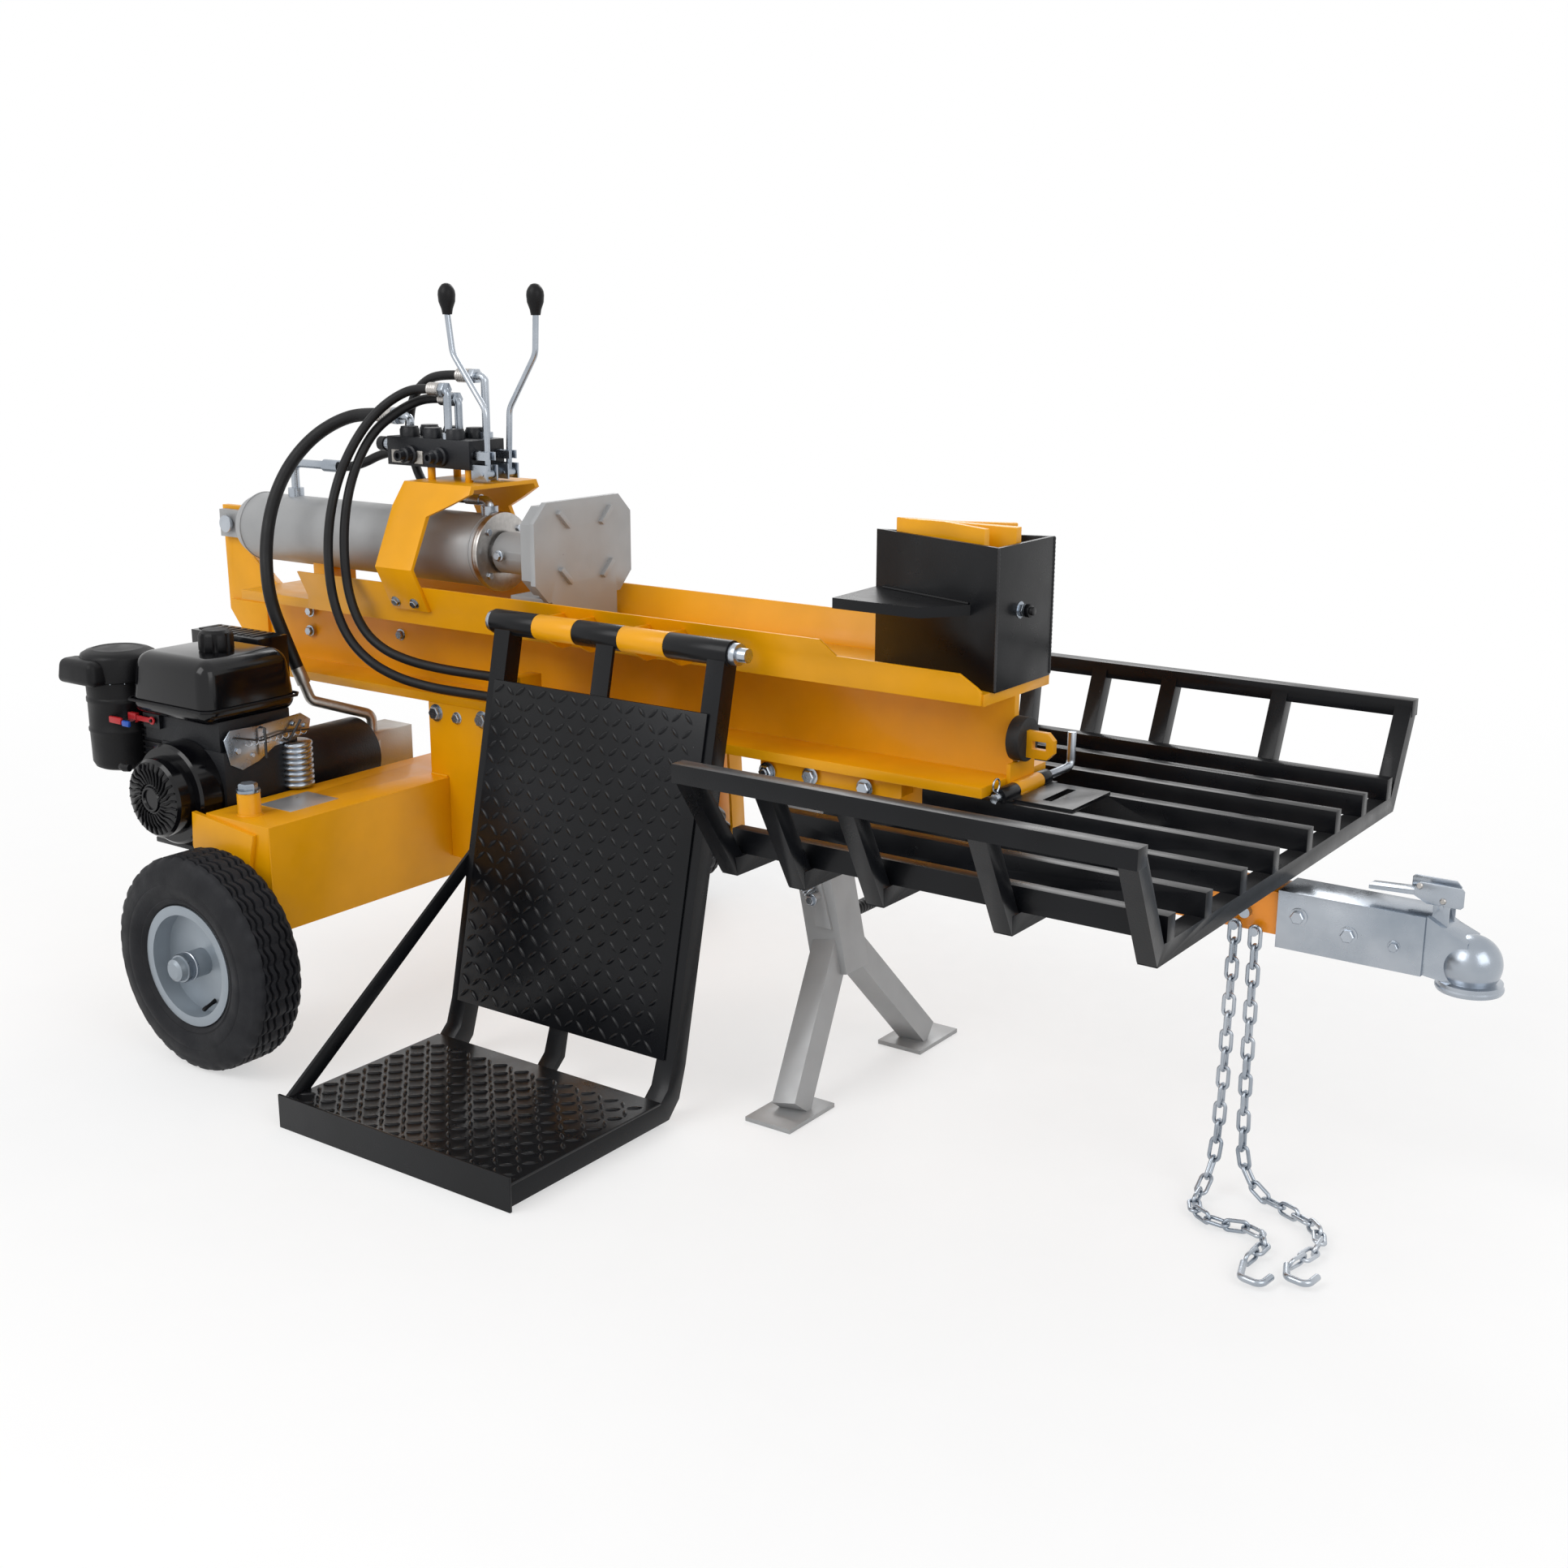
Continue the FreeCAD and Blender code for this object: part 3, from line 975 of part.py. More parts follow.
def lift():
    outer = "-flange_half - wing_sheet"
    gusset = [(outer, "wing_foot + 2"), (outer, "wing_bend"),
              ("%s - (wing_spread / (wing_top + 1 - wing_bend)) * 38" % outer, "wing_bend + 38"),
              ("lift_y", "lift_z + lift_tube - 3"), ("lift_y - 14", "lift_z"),
              ("lift_y", "lift_z - lift_tube + 2"), ("lift_y + 42", "wing_foot + 2")]
    pieces = []
    for number, (low, high) in enumerate(((422, 519), (628, 733))):
        tubes = [rod("lift_knuckle_%d" % number, "X", (str(low), "lift_y", "lift_z"), "lift_tube",
                     str(high - low))]
        for side, x in enumerate((low + 8, high - 16)):
            tubes.append(plate("gusset_%d_%d" % (number, side), "YZ", gusset, str(x), str(x + 8)))
        way = rod("lift_way_%d" % number, "X", (str(low - 1), "lift_y", "lift_z"), "lift_pin + shaft_play",
                  str(high - low + 2))
        pieces.append(cut("lift_bracket_%d" % number, fuse("lift_bracket_sum_%d" % number, *tubes), way))
    hanger = [("lift_base_y - 36", "beam_low"), ("flange_half", "beam_low"),
              ("lift_base_y + 20", "lift_base_z + 10"), ("lift_base_y + 14", "lift_base_z - 18"),
              ("lift_base_y - 14", "lift_base_z - 18"), ("lift_base_y - 20", "lift_base_z + 10")]
    inner = "eye_half + side_gap"
    cheek_a = plate("hanger_a", "YZ", hanger, "lift_lug_x - %s - 6" % "eye_half - side_gap",
                    "lift_lug_x - eye_half - side_gap")
    cheek_b = plate("hanger_b", "YZ", hanger, "lift_lug_x + " + inner, "lift_lug_x + %s + 6" % inner)
    pin = rod("hanger_pin", "X", ("lift_lug_x - 22", "lift_base_y", "lift_base_z"), "8", "44")
    tie = block("hanger_tie",
                ("lift_lug_x - eye_half - side_gap - 1", "lift_lug_x + eye_half + side_gap + 1"),
                ("lift_base_y - 40", "flange_half - 4"), ("beam_low - 8", "beam_low"))
    pieces.append(fuse("hanger_solid", cheek_a, cheek_b, pin, tie))
    port_block = block("port_block", ("320", "352"), ("-172", "-flange_half"), ("beam_low + 2", "704"))
    nuts = [rod("port_block_nut_%d" % i, "X", ("298", str(y), str(z)), "11", "22")
            for i, (x, y, z) in enumerate((LIFT_A_ROUTE[-1], LIFT_B_ROUTE[-1]))]
    pieces.append(fuse("port_block_solid", port_block, *nuts))
    node("lift_brackets", *pieces)

    shaft = rod("hinge_shaft", "X", ("303", "lift_y", "lift_z"), "lift_pin", "602")
    head = rod("hinge_head", "X", ("303", "lift_y", "lift_z"), "20", "9.4")
    nut = rod("hinge_nut", "X", ("872.6", "lift_y", "lift_z"), "20", "14")
    node("lift_hinge_pin", fuse("hinge_pin_solid", shaft, head, nut))

    half = "lift_arm / 2"
    top = "shelf_height + " + half
    low = "shelf_height - " + half
    arm = [("lift_y - " + half, "lift_z"), (lean_at("112", half), "112"),
           (lean_at("66", half) + " - 6", "66"),
           (lean_at("50", half) + " - 24", top), ("lip_y + 5", top), ("lip_y + 5", low),
           (lean_at("30", "-(%s)" % half) + " - 34", low), (lean_at("46", "-(%s)" % half) + " - 8", "38"),
           (lean_at("96", "-(%s)" % half), "96"), ("lift_y + " + half, "lift_z")]
    parts = []
    for name, middle in (("arm_near", "arm_near_x"), ("arm_far", "arm_far_x")):
        parts.append(plate(name, "YZ", arm, "%s - %s" % (middle, half), "%s + %s" % (middle, half)))
    thin = "lift_arm / 2 - 8"
    middle = [("lift_y - " + half, "lift_z - 4"), (lean_at("112", half), "112"),
              (lean_at("66", half) + " - 6", "66"), (lean_at("50", half) + " - 24", top),
              ("lip_y + 5", top), ("lip_y + 5", top + " - 8"), (lean_at("50", half) + " - 18", top + " - 8"),
              (lean_at("66", thin) + " - 2", "62"), (lean_at("112", thin), "112"),
              ("lift_y - (%s)" % thin, "lift_z - 4")]
    parts.append(plate("arm_middle", "YZ", middle, "arm_mid_x - 20", "arm_mid_x + 20"))
    strip = [(lean_at("590", half), "590"), (lean_at("652", half), "652"), (lean_at("652", thin), "652"),
             (lean_at("590", thin), "590")]
    parts.append(plate("arm_strip", "YZ", strip, "arm_near_x", "arm_far_x"))
    lugs = [(lean_at("652", half), "652"), (lean_at("590", half), "590"),
            ("lift_eye_y + 2", "lift_eye_z - 20"), ("lift_eye_y + 18", "lift_eye_z - 8"),
            ("lift_eye_y + 18", "lift_eye_z + 8"), ("lift_eye_y + 2", "lift_eye_z + 20")]
    parts.append(plate("lug_a", "YZ", lugs, "lift_lug_x - eye_half - side_gap - 6",
                       "lift_lug_x - eye_half - side_gap"))
    parts.append(plate("lug_b", "YZ", lugs, "lift_lug_x + eye_half + side_gap",
                       "lift_lug_x + eye_half + side_gap + 6"))
    brace = [(lean_at("396", "4"), "396"), (lean_at("350", "10"), "350"), ("lip_y + 14", low + " + 2"),
             ("lip_y + 8", top)]
    parts.append(plate("brace", "YZ", brace, "arm_near_x - %s - 6" % half, "arm_near_x - " + half))
    spans = (("313", "422 - side_gap"), ("519 + side_gap", "628 - side_gap"), ("733 + side_gap", "872"))
    for number, (low_x, high_x) in enumerate(spans):
        parts.append(rod("lift_sleeve_%d" % number, "X", (low_x, "lift_y", "lift_z"), "lift_tube",
                         "(%s) - (%s)" % (high_x, low_x)))
    way = rod("sleeve_way", "X", ("300", "lift_y", "lift_z"), "lift_pin + shaft_play", "600")
    node("lift_frame", cut("lift_frame_solid", fuse("lift_frame_sum", *parts), way))

    skin = [(lean_at("plate_top", half), "plate_top"), (lean_at("112", half), "112"),
            (lean_at("112", half + " + lift_sheet"), "112"),
            (lean_at("plate_top", half + " + lift_sheet"), "plate_top")]
    node("lift_back_plate", plate("lift_skin", "YZ", skin, "arm_near_x", "arm_far_x"))
    floor = block("shelf_floor", ("arm_near_x - lift_arm / 2", "arm_far_x + 22"),
                  ("lip_y", lean_at("50", half) + " - 26"),
                  (top, top + " + lift_sheet"))
    lip = block("shelf_lip", ("arm_near_x - 25", "arm_far_x + 22"), ("lip_y", "lip_y + 5"), ("0", "lip_top"))
    node("lift_shelf", fuse("shelf_solid", floor, lip))


def lift_cylinder():
    base = V(s.lift_lug_x, s.lift_base_y, s.lift_base_z)
    eye = V(s.lift_lug_x, s.lift_eye_y, s.lift_eye_z)
    reach = (eye - base).Length
    along = (eye - base).normalize()

    def drum(radius, start, end):
        return Part.makeCylinder(radius, end - start, base + along * start, along)

    def cross(radius, at, half):
        return Part.makeCylinder(radius, 2 * half, base + along * at - V(half, 0, 0), V(1, 0, 0))

    end = reach - s.eye_radius - 11
    barrel = drum(s.lift_barrel, 66, end).fuse([cross(s.eye_radius, 0, s.eye_half), drum(13, 8, 68)])
    hollow = drum(18, 76, end - 14).fuse([drum(s.lift_rod + s.shaft_play, end - 16, end + 1),
                                          cross(8 + s.shaft_play, 0, s.eye_half + 1)])
    node("lift_cylinder_barrel", feature("lift_barrel_solid", barrel.cut(hollow)))
    stem = drum(s.lift_rod, 80, reach - 8).fuse([drum(18 - s.seat_gap, 78, 96),
                                                  cross(s.eye_radius, reach, s.eye_half)])
    node("lift_cylinder_rod", feature("lift_rod_solid", stem.cut(cross(8, reach, s.eye_half + 1))))


# Receiver under the beam, tongue, coupler and its latch


def towing():
    side = plate("receiver_side", "XZ", [
        ("receiver_rear", "beam_low"), ("receiver_rear", "receiver_low"),
        ("receiver_front - 16", "receiver_low"), ("receiver_front", "receiver_low + 14"),
        ("receiver_front", "beam_low")], "-receiver_half - receiver_plate", "-receiver_half")
    cross = block("receiver_cross", ("receiver_front - 40", "receiver_front - 4"),
                  ("-receiver_half - 1", "receiver_half + 1"), ("beam_low - 32", "beam_low"))
    cheek = block("tongue_cheek", ("receiver_front - 30", "receiver_front + 35"),
                  ("-tongue_size / 2 - 8", "-tongue_size / 2"), ("tongue_high - tongue_size", "beam_low"))
    pivot = rod("jack_bolt", "Y", ("jack_x", "-receiver_half - 16", "jack_z"), "jack_pin",
                "receiver_half * 2 + 32")
    heads = [rod("receiver_head_%d" % i, "Y", (x, "-receiver_half - receiver_plate - 8", z), "11", "9")
             for i, (x, z) in enumerate((("970", "590"), ("1085", "586")))]
    bolts = [rod("tongue_bolt_%d" % i, "Y", (x, "-tongue_size / 2 - 15", "tongue_high - 35"), "7",
                 "tongue_size + 30") for i, x in enumerate(("receiver_front - 8", "receiver_front + 20"))]
    bore = block("tongue_room", ("tongue_rear", "tongue_front"), ("-tongue_size / 2", "tongue_size / 2"),
                 ("tongue_high - tongue_size", "tongue_high"))
    node("tongue_receiver", cut("receiver_solid", fuse(
        "receiver_sum", side, mirror("receiver_far", side), cross, cheek, mirror("cheek_far", cheek),
        pivot, *(heads + bolts)), bore))

    inner = "tongue_size / 2 - tongue_wall"
    outer = block("tongue_outer", ("tongue_rear", "tongue_front"), ("-tongue_size / 2", "tongue_size / 2"),
                  ("tongue_high - tongue_size", "tongue_high"))
    hollow = block("tongue_hollow", ("tongue_rear - 1", "tongue_front + 1"), ("-(%s)" % inner, inner),
                   ("tongue_high - tongue_size + tongue_wall", "tongue_high - tongue_wall"))
    node("tongue", cut("tongue_solid", outer, hollow))

    wide = "tongue_size / 2 + coupler_sheet"
    channel = block("coupler_channel", ("coupler_rear", "ball_x - 62"), ("-(%s)" % wide, wide),
                    ("tongue_high - tongue_size - 18", "tongue_high + coupler_sheet"))
    room = block("coupler_room", ("coupler_rear - 1", "tongue_front + 12"),
                 ("-tongue_size / 2", "tongue_size / 2"), ("tongue_high - tongue_size - 30", "tongue_high"))
    nose = plate("coupler_nose", "XZ", [
        ("ball_x - 63", "tongue_high - tongue_size - 18"), ("ball_x - 63", "tongue_high + coupler_sheet"),
        ("ball_x - 30", "tongue_high - 14"), ("ball_x", "ball_z + dome_radius - 6"),
        ("ball_x", "ball_z - 30")], "-dome_radius + 13", "dome_radius - 13")
    dome = doc.addObject("Part::Sphere", "coupler_dome")
    bind(dome, "Radius", "dome_radius")
    place(dome, "ball_x", "0", "ball_z")
    skirt = rod("coupler_skirt", "Z", ("ball_x", "0", "ball_z - 38"), "dome_radius + 3", "12")
    ball = doc.addObject("Part::Sphere", "ball_room")
    bind(ball, "Radius", "ball_radius")
    place(ball, "ball_x", "0", "ball_z")
    mouth = rod("ball_mouth", "Z", ("ball_x", "0", "ball_z - 80"), "ball_radius", "80")
    floor = block("dome_floor", ("ball_x - 60", "ball_x + 60"), ("-60", "60"),
                  ("ball_z - 90", "ball_z - 38"))
    ear = block("latch_ear", ("latch_x - 12", "latch_x + 12"), ("14.6", "18.6"),
                ("ball_z + 20", "latch_z + 10"))
    latch_pin = rod("latch_pin", "Y", ("latch_x", "-20", "latch_z"), "4", "40")
    body = fuse("coupler_sum", channel, nose, dome, skirt, ear, mirror("latch_ear_far", ear), latch_pin)
    node("coupler", cut("coupler_solid", body, room, ball, mouth, floor))

    latch = plate("latch_form", "XZ", [
        ("latch_x - 9", "latch_z - 8"), ("latch_x + 8", "latch_z - 8"), ("latch_x + 14", "latch_z + 24"),
        ("latch_x - 20", "latch_z + 20"), ("latch_x - 112", "latch_z + 14"),
        ("latch_x - 112", "latch_z + 8"), ("latch_x - 12", "latch_z + 12")], "-14", "14")
    eye = rod("latch_eye", "Y", ("latch_x", "-15", "latch_z"), "4 + shaft_play", "30")
    node("coupler_latch", cut("latch_solid", latch, eye))


# Jack stand that swings on its bolt in the receiver


def jack():
    lean = math.radians(s.jack_lean)
    pivot = V(s.jack_x, 0, s.jack_z)
    ahead = V(math.cos(lean), 0, math.sin(lean))
    up = V(-math.sin(lean), 0, math.cos(lean))

    def at(forward, across, height):
        return pivot + ahead * forward + up * height + V(0, across, 0)

    side = s.jack_tube / 2
    post = bar("jack_post_form", at(s.jack_offset, 0, -6), at(s.jack_offset, 0, -s.jack_post),
               s.jack_tube, s.jack_tube, (0, 1, 0))
    sleeve = tube("jack_sleeve", "Y", ("jack_x", "-receiver_half + side_gap", "jack_z"), "17",
                  "jack_pin + shaft_play", "(receiver_half - side_gap) * 2")
    way = rod("jack_way", "Y", ("jack_x", "-receiver_half", "jack_z"), "jack_pin + shaft_play",
              "receiver_half * 2")
    drop = (s.jack_z + math.sin(lean) * s.jack_offset - 12) / math.cos(lean)
    legs = []
    for number, sign in enumerate((-1, 1)):
        legs.append(bar("jack_leg_%d" % number, at(s.jack_offset, sign * 12, -s.jack_post + 60),
                        at(s.jack_offset, sign * s.jack_spread, -drop), s.jack_leg, s.jack_leg, ahead))
    ankle = at(s.jack_offset, 0, -drop).x
    ground = block("jack_ground", ("%g" % (ankle - 150), "%g" % (ankle + 150)), ("-400", "400"),
                   ("-60", "jack_foot / 2"))
    feet = [block("jack_foot_%d" % i, ("%g" % (ankle - 50), "%g" % (ankle + 46)),
                  ("%s * jack_spread - 70" % sign, "%s * jack_spread + 70" % sign), ("0", "jack_foot"))
            for i, sign in enumerate(("-1", "1"))]
    grip = feature("jack_grip", Part.makeCylinder(11, 135, at(s.jack_offset, side - 1, -300), V(0, 1, 0)))
    latch = bar("jack_latch_plate", at(s.jack_offset, -side - 3, -196),
                at(s.jack_offset + 7, -side - 3, -304), 34, 6, (1, 0, 0))
    hooks = [at(s.jack_offset - 29, -side, -181), at(s.jack_offset + 7, -side, -243)]
    posts = [feature("jack_stud_%d" % i,
                     Part.makeCylinder(s.stud_radius, 30, spot - V(0, 29, 0), V(0, 1, 0)))
             for i, spot in enumerate(hooks)]
    body = fuse("jack_sum", post, sleeve, cut("jack_legs", fuse("jack_legs_sum", *legs), ground), *feet,
                grip, latch, *posts)
    node("jack_stand", cut("jack_solid", body, way))

    out = V(0, -s.spring_radius - s.spring_wire - 6.3, 0)
    node("jack_spring", feature("jack_spring_solid", spring(hooks[0] + out, hooks[1] + out)))


def spring(start, end):
    """Close coil of half turns between two studs, a seat gap from each."""
    along = (end - start).normalize()
    side = V(0, 1, 0)
    across = along.cross(side).normalize()
    lead = s.stud_radius + s.spring_wire + s.seat_gap
    pitch = ((end - start).Length - 2 * lead) / s.spring_turns
    steps = int(s.spring_turns) * 8

    def on_coil(step):
        angle = 2 * math.pi * step / 8
        return (start + along * (lead + pitch * step / 8)
                + across * (s.spring_radius * math.cos(angle)) - side * (s.spring_radius * math.sin(angle)))

    edges = [Part.Arc(on_coil(n), on_coil(n + 1), on_coil(n + 2)).toShape() for n in range(0, steps, 2)]
    ring = Part.Wire(Part.makeCircle(s.spring_wire, on_coil(0), edges[0].tangentAt(edges[0].FirstParameter)))
    turn_gaps = [(on_coil(n + 8) - on_coil(n)).Length - 2 * s.spring_wire for n in range(steps - 8)]
    print("spring: least gap between turns %.2f" % min(turn_gaps))
    return Part.Wire(edges).makePipeShell([ring], True, False)


# Table for split wood, hinged on a pull pin behind the end of the beam


def table():
    half = "table_tube / 2"
    rail = block("table_rail", ("table_rear", "table_front"), ("-rail_y - " + half, "-rail_y + " + half),
                 ("rail_z - " + half, "rail_z + " + half))
    parts = [rail, mirror("table_rail_far", rail)]
    ribs = ((1091, 1060), (1220, 1212), (1363, 1358), (1580, 1576), (1804, 1804))
    for number, (low, high) in enumerate(ribs):
        parts.append(block("rib_%d" % number, ("%d - %s" % (low, half), "%d + %s" % (low, half)),
                           ("-floor_y - 12", "floor_y + 12"), ("floor_z - " + half, "floor_z + " + half)))
        leg = bar("rib_leg_%d" % number, (low, -s.floor_y, s.floor_z - 6), (high, -s.rail_y, s.rail_z),
                  s.table_tube, s.table_tube, (1, 0, 0))
        parts += [leg, mirror("rib_leg_far_%d" % number, leg)]
    for number in range(4):
        middle = "(slat_width / 2 + 59.5 + %d * slat_step)" % number
        slat = block("slat_%d" % number, ("1195" if number == 0 else "1078", "table_front"),
                     ("%s - slat_width / 2" % middle, "%s + slat_width / 2" % middle),
                     ("slat_low", "slat_high"))
        parts += [slat, mirror("slat_far_%d" % number, slat)]
    centre = block("centre_plate", ("hinge_x + 20", "hinge_x + 130"), ("-70", "70"),
                   ("slat_high - 1", "slat_high + 5"))
    slot = block("centre_slot", ("hinge_x + 62", "hinge_x + 78"), ("-45", "45"),
                 ("slat_high - 4", "slat_high + 8"))
    near = rod("table_ear_near", "Y", ("hinge_x", "-84", "hinge_z"), "hinge_tube", "54 - side_gap")
    far = rod("table_ear_far", "Y", ("hinge_x", "55 + side_gap", "hinge_z"), "hinge_tube", "29 - side_gap")
    reach = [block("ear_reach_%d" % i, ("hinge_x - 10", "hinge_x + 24"), pair,
                   ("slat_high - 8", "slat_high + 4"))
             for i, pair in enumerate((("-82", "-32"), ("57", "82")))]
    way = rod("table_way", "Y", ("hinge_x", "-120", "hinge_z"), "hinge_pin + shaft_play", "240")
    node("table", cut("table_solid", fuse("table_sum", *parts, centre, near, far, *reach), way, slot))

    pin = rod("table_pin_form", "Y", ("hinge_x", "-100", "hinge_z"), "hinge_pin", "262")
    bent = bent_rod("table_pin_handle", [(s.hinge_x, 161, s.hinge_z), (s.hinge_x, 178, s.hinge_z),
                                         (s.hinge_x, 178, s.hinge_z + 62)], s.hinge_pin, 12)
    collar = rod("table_pin_collar", "Y", ("hinge_x", "84 + side_gap", "hinge_z"),
                 "hinge_z - slat_high - side_gap", "5")
    node("table_pin", fuse("table_pin_solid", pin, bent, collar))


# Safety chains from the tongue down to the ground


def link(middle, along, flat):
    """One chain link: a rounded ring of round wire."""
    reach = s.link_pitch / 2 - s.link_half + s.link_wire + s.seat_gap
    a = middle + along * reach
    b = middle - along * reach
    w = flat * s.link_half
    r = along * s.link_half
    edges = [Part.LineSegment(b + w, a + w).toShape(), Part.Arc(a + w, a + r, a - w).toShape(),
             Part.LineSegment(a - w, b - w).toShape(), Part.Arc(b - w, b - r, b + w).toShape()]
    ring = Part.Wire(Part.makeCircle(s.link_wire, b + w, along))
    return Part.Wire(edges).makePipeShell([ring], True, False)


def chain(name, corners):
    """Links one pitch apart along a route, each turned a quarter from the last."""
    wire, radii = rounded_path(corners)
    trail = wire.discretize(Distance=0.2)
    flat = V(0, 1, 0)
    spot = trail[0]
    links = []
    for ahead in trail:
        if (ahead - spot).Length >= s.link_pitch:
            along = (ahead - spot).normalize()
            flat = along.cross(flat).normalize()
            links.append(link((ahead + spot) / 2, along, flat))
            spot = ahead
    return feature(name, Part.makeCompound(links))


def chains():
    low = s.link_half + s.link_wire + 1.0
    bolt = rod("chain_bolt", "Y", ("1765", "-tongue_size / 2 - 12", "tongue_high - 40"), "9", "12")
    first = chain("chain_near", [(1752, -47, 462), (1750, -48, 180), (1748, -54, 60), (1744, -92, low),
                                 (1752, -160, low), (1812, -184, low), (1862, -160, low),
                                 (1898, -196, low), (1889, -290, low)])
    second = chain("chain_far", [(1786, -47, 458), (1788, -48, 180), (1792, -50, 60), (1826, -56, low),
                                 (1890, -78, low), (1950, -110, low), (1968, -170, low), (1948, -250, low)])
    hooks = [bent_rod("chain_hook_%d" % i, [(x, y + back, low), (x + 12, y - 34, low),
                                            (x + 46, y - 40, low), (x + 50, y - 8, low)], 5.5, 12)
             for i, (x, y, back) in enumerate(((1890, -284, 9.3), (1946, -244, 0)))]
    posts = [fuse("chain_post_%d" % i,
                  rod("chain_post_stem_%d" % i, "Y", (x, "-tongue_size / 2 - 20", z), "4", "20"),
                  rod("chain_post_head_%d" % i, "Y", (x, "-tongue_size / 2 - 21", z), "7", "3"))
             for i, (x, z) in enumerate((("1752", "458.1"), ("1786", "454.1")))]
    node("safety_chains", bolt, first, second, *hooks, *posts)


def finish():
    doc.recompute()
    faults = [o.Name for o in doc.Objects if "Invalid" in o.State or "Error" in o.State]
    faults += [o.Label for o in NODES if o.Shape.isNull() or not o.Shape.isValid()]
    if faults:
        raise RuntimeError("faulty objects: " + ", ".join(faults))
    os.makedirs("parts", exist_ok=True)
    whole = FreeCAD.BoundBox()
    for piece in NODES:
        piece.Shape.exportStep("parts/%s.step" % piece.Label)
        whole.add(piece.Shape.BoundBox)
    print("nodes", len(NODES), "box", whole)


wheels()
tank()
beam()
main_cylinder()
push_plate()
wedges()
valve()
fittings()
engine()
hoses()
lift()
lift_cylinder()
towing()
jack()
table()
chains()
finish()
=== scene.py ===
import bpy
import bmesh
import math
from mathutils import Matrix, Vector


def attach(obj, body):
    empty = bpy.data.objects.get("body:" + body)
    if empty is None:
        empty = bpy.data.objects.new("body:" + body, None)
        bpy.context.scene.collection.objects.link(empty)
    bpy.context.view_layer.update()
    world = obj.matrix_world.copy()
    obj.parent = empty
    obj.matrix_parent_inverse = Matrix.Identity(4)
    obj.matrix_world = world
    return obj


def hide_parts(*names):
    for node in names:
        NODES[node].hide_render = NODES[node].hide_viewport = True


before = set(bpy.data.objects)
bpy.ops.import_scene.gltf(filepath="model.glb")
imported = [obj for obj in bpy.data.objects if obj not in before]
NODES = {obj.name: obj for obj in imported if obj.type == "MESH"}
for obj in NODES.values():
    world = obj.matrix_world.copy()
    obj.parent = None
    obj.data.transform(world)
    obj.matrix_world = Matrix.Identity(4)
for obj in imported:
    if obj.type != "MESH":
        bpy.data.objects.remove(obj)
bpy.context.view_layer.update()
PI = math.pi

# The frame's origin in machine millimetres: X from the axle, Y from the middle of the beam
ORIGIN_X = 729
ORIGIN_Y = -20.5

# Heights and places that several pieces share, in machine millimetres
AXLE_HEIGHT = 207.5
RAM_HEIGHT = 910
LIFT_HINGE_Y = -190
LIFT_HINGE_Z = 813
JACK_HINGE_X = 875
JACK_HINGE_Z = 583
CRANK_X = -205


def at(x, y, z):
    """A point in machine millimetres as metres in the shared frame."""
    return Vector(((x - ORIGIN_X) / 1000, (y - ORIGIN_Y) / 1000, z / 1000))


# Camera at the photograph's viewing angle

CAMERA_TURN = math.radians(35.427)
CAMERA_LIFT = math.radians(15.117)
CAMERA_ROLL = math.radians(0.174)
CAMERA_SPOT = (2.0843, -2.7633, 1.4352)
CAMERA_LENS = 43.69
CAMERA_SENSOR = 36
CAMERA_SHIFT = (0.0038, 0.0072)


def camera():
    """The camera, from its turn about the upright, its lift above level and its roll."""
    back = Vector((math.sin(CAMERA_TURN) * math.cos(CAMERA_LIFT),
                   -math.cos(CAMERA_TURN) * math.cos(CAMERA_LIFT), math.sin(CAMERA_LIFT)))
    right = Vector((math.cos(CAMERA_TURN), math.sin(CAMERA_TURN), 0))
    up = back.cross(right)
    c, s = math.cos(CAMERA_ROLL), math.sin(CAMERA_ROLL)
    rows = (c * right + s * up, c * up - s * right, back)
    data = bpy.data.cameras.new("camera")
    data.lens = CAMERA_LENS
    data.sensor_width = CAMERA_SENSOR
    data.shift_x, data.shift_y = CAMERA_SHIFT
    thing = bpy.data.objects.new("camera", data)
    bpy.context.scene.collection.objects.link(thing)
    thing.matrix_world = Matrix.Translation(CAMERA_SPOT) @ Matrix(rows).transposed().to_4x4()
    bpy.context.scene.camera = thing


# Pale floor, white surroundings and large soft lights

FLOOR_REACH = 40
FLOOR_DROP = 0.0006
FADE_START = 1.3
FADE_END = 4.5
FADE_LEAST = 0.55
WORLD_LEVEL = 0.64
LIGHT_AIM = Vector((0, 0, 0.6))
# Each light's place in metres, its size in metres and its power in watts
LIGHTS = {
    "key_light": ((-1.5, -4.5, 4.5), 3.5, 130),
    "fill_light": ((4.5, -1.5, 3.0), 3.0, 55),
    "rim_light": ((-2.0, 4.5, 4.0), 3.0, 90),
}


def seen_rays(tree):
    """One for a ray from the camera, off a glossy face or through glass, and nought for the rest."""
    path = tree.nodes.new("ShaderNodeLightPath")
    total = path.outputs["Is Camera Ray"]
    for kind in ("Is Glossy Ray", "Is Transmission Ray"):
        most = tree.nodes.new("ShaderNodeMath")
        most.operation = "MAXIMUM"
        tree.links.new(total, most.inputs[0])
        tree.links.new(path.outputs[kind], most.inputs[1])
        total = most.outputs["Value"]
    return total


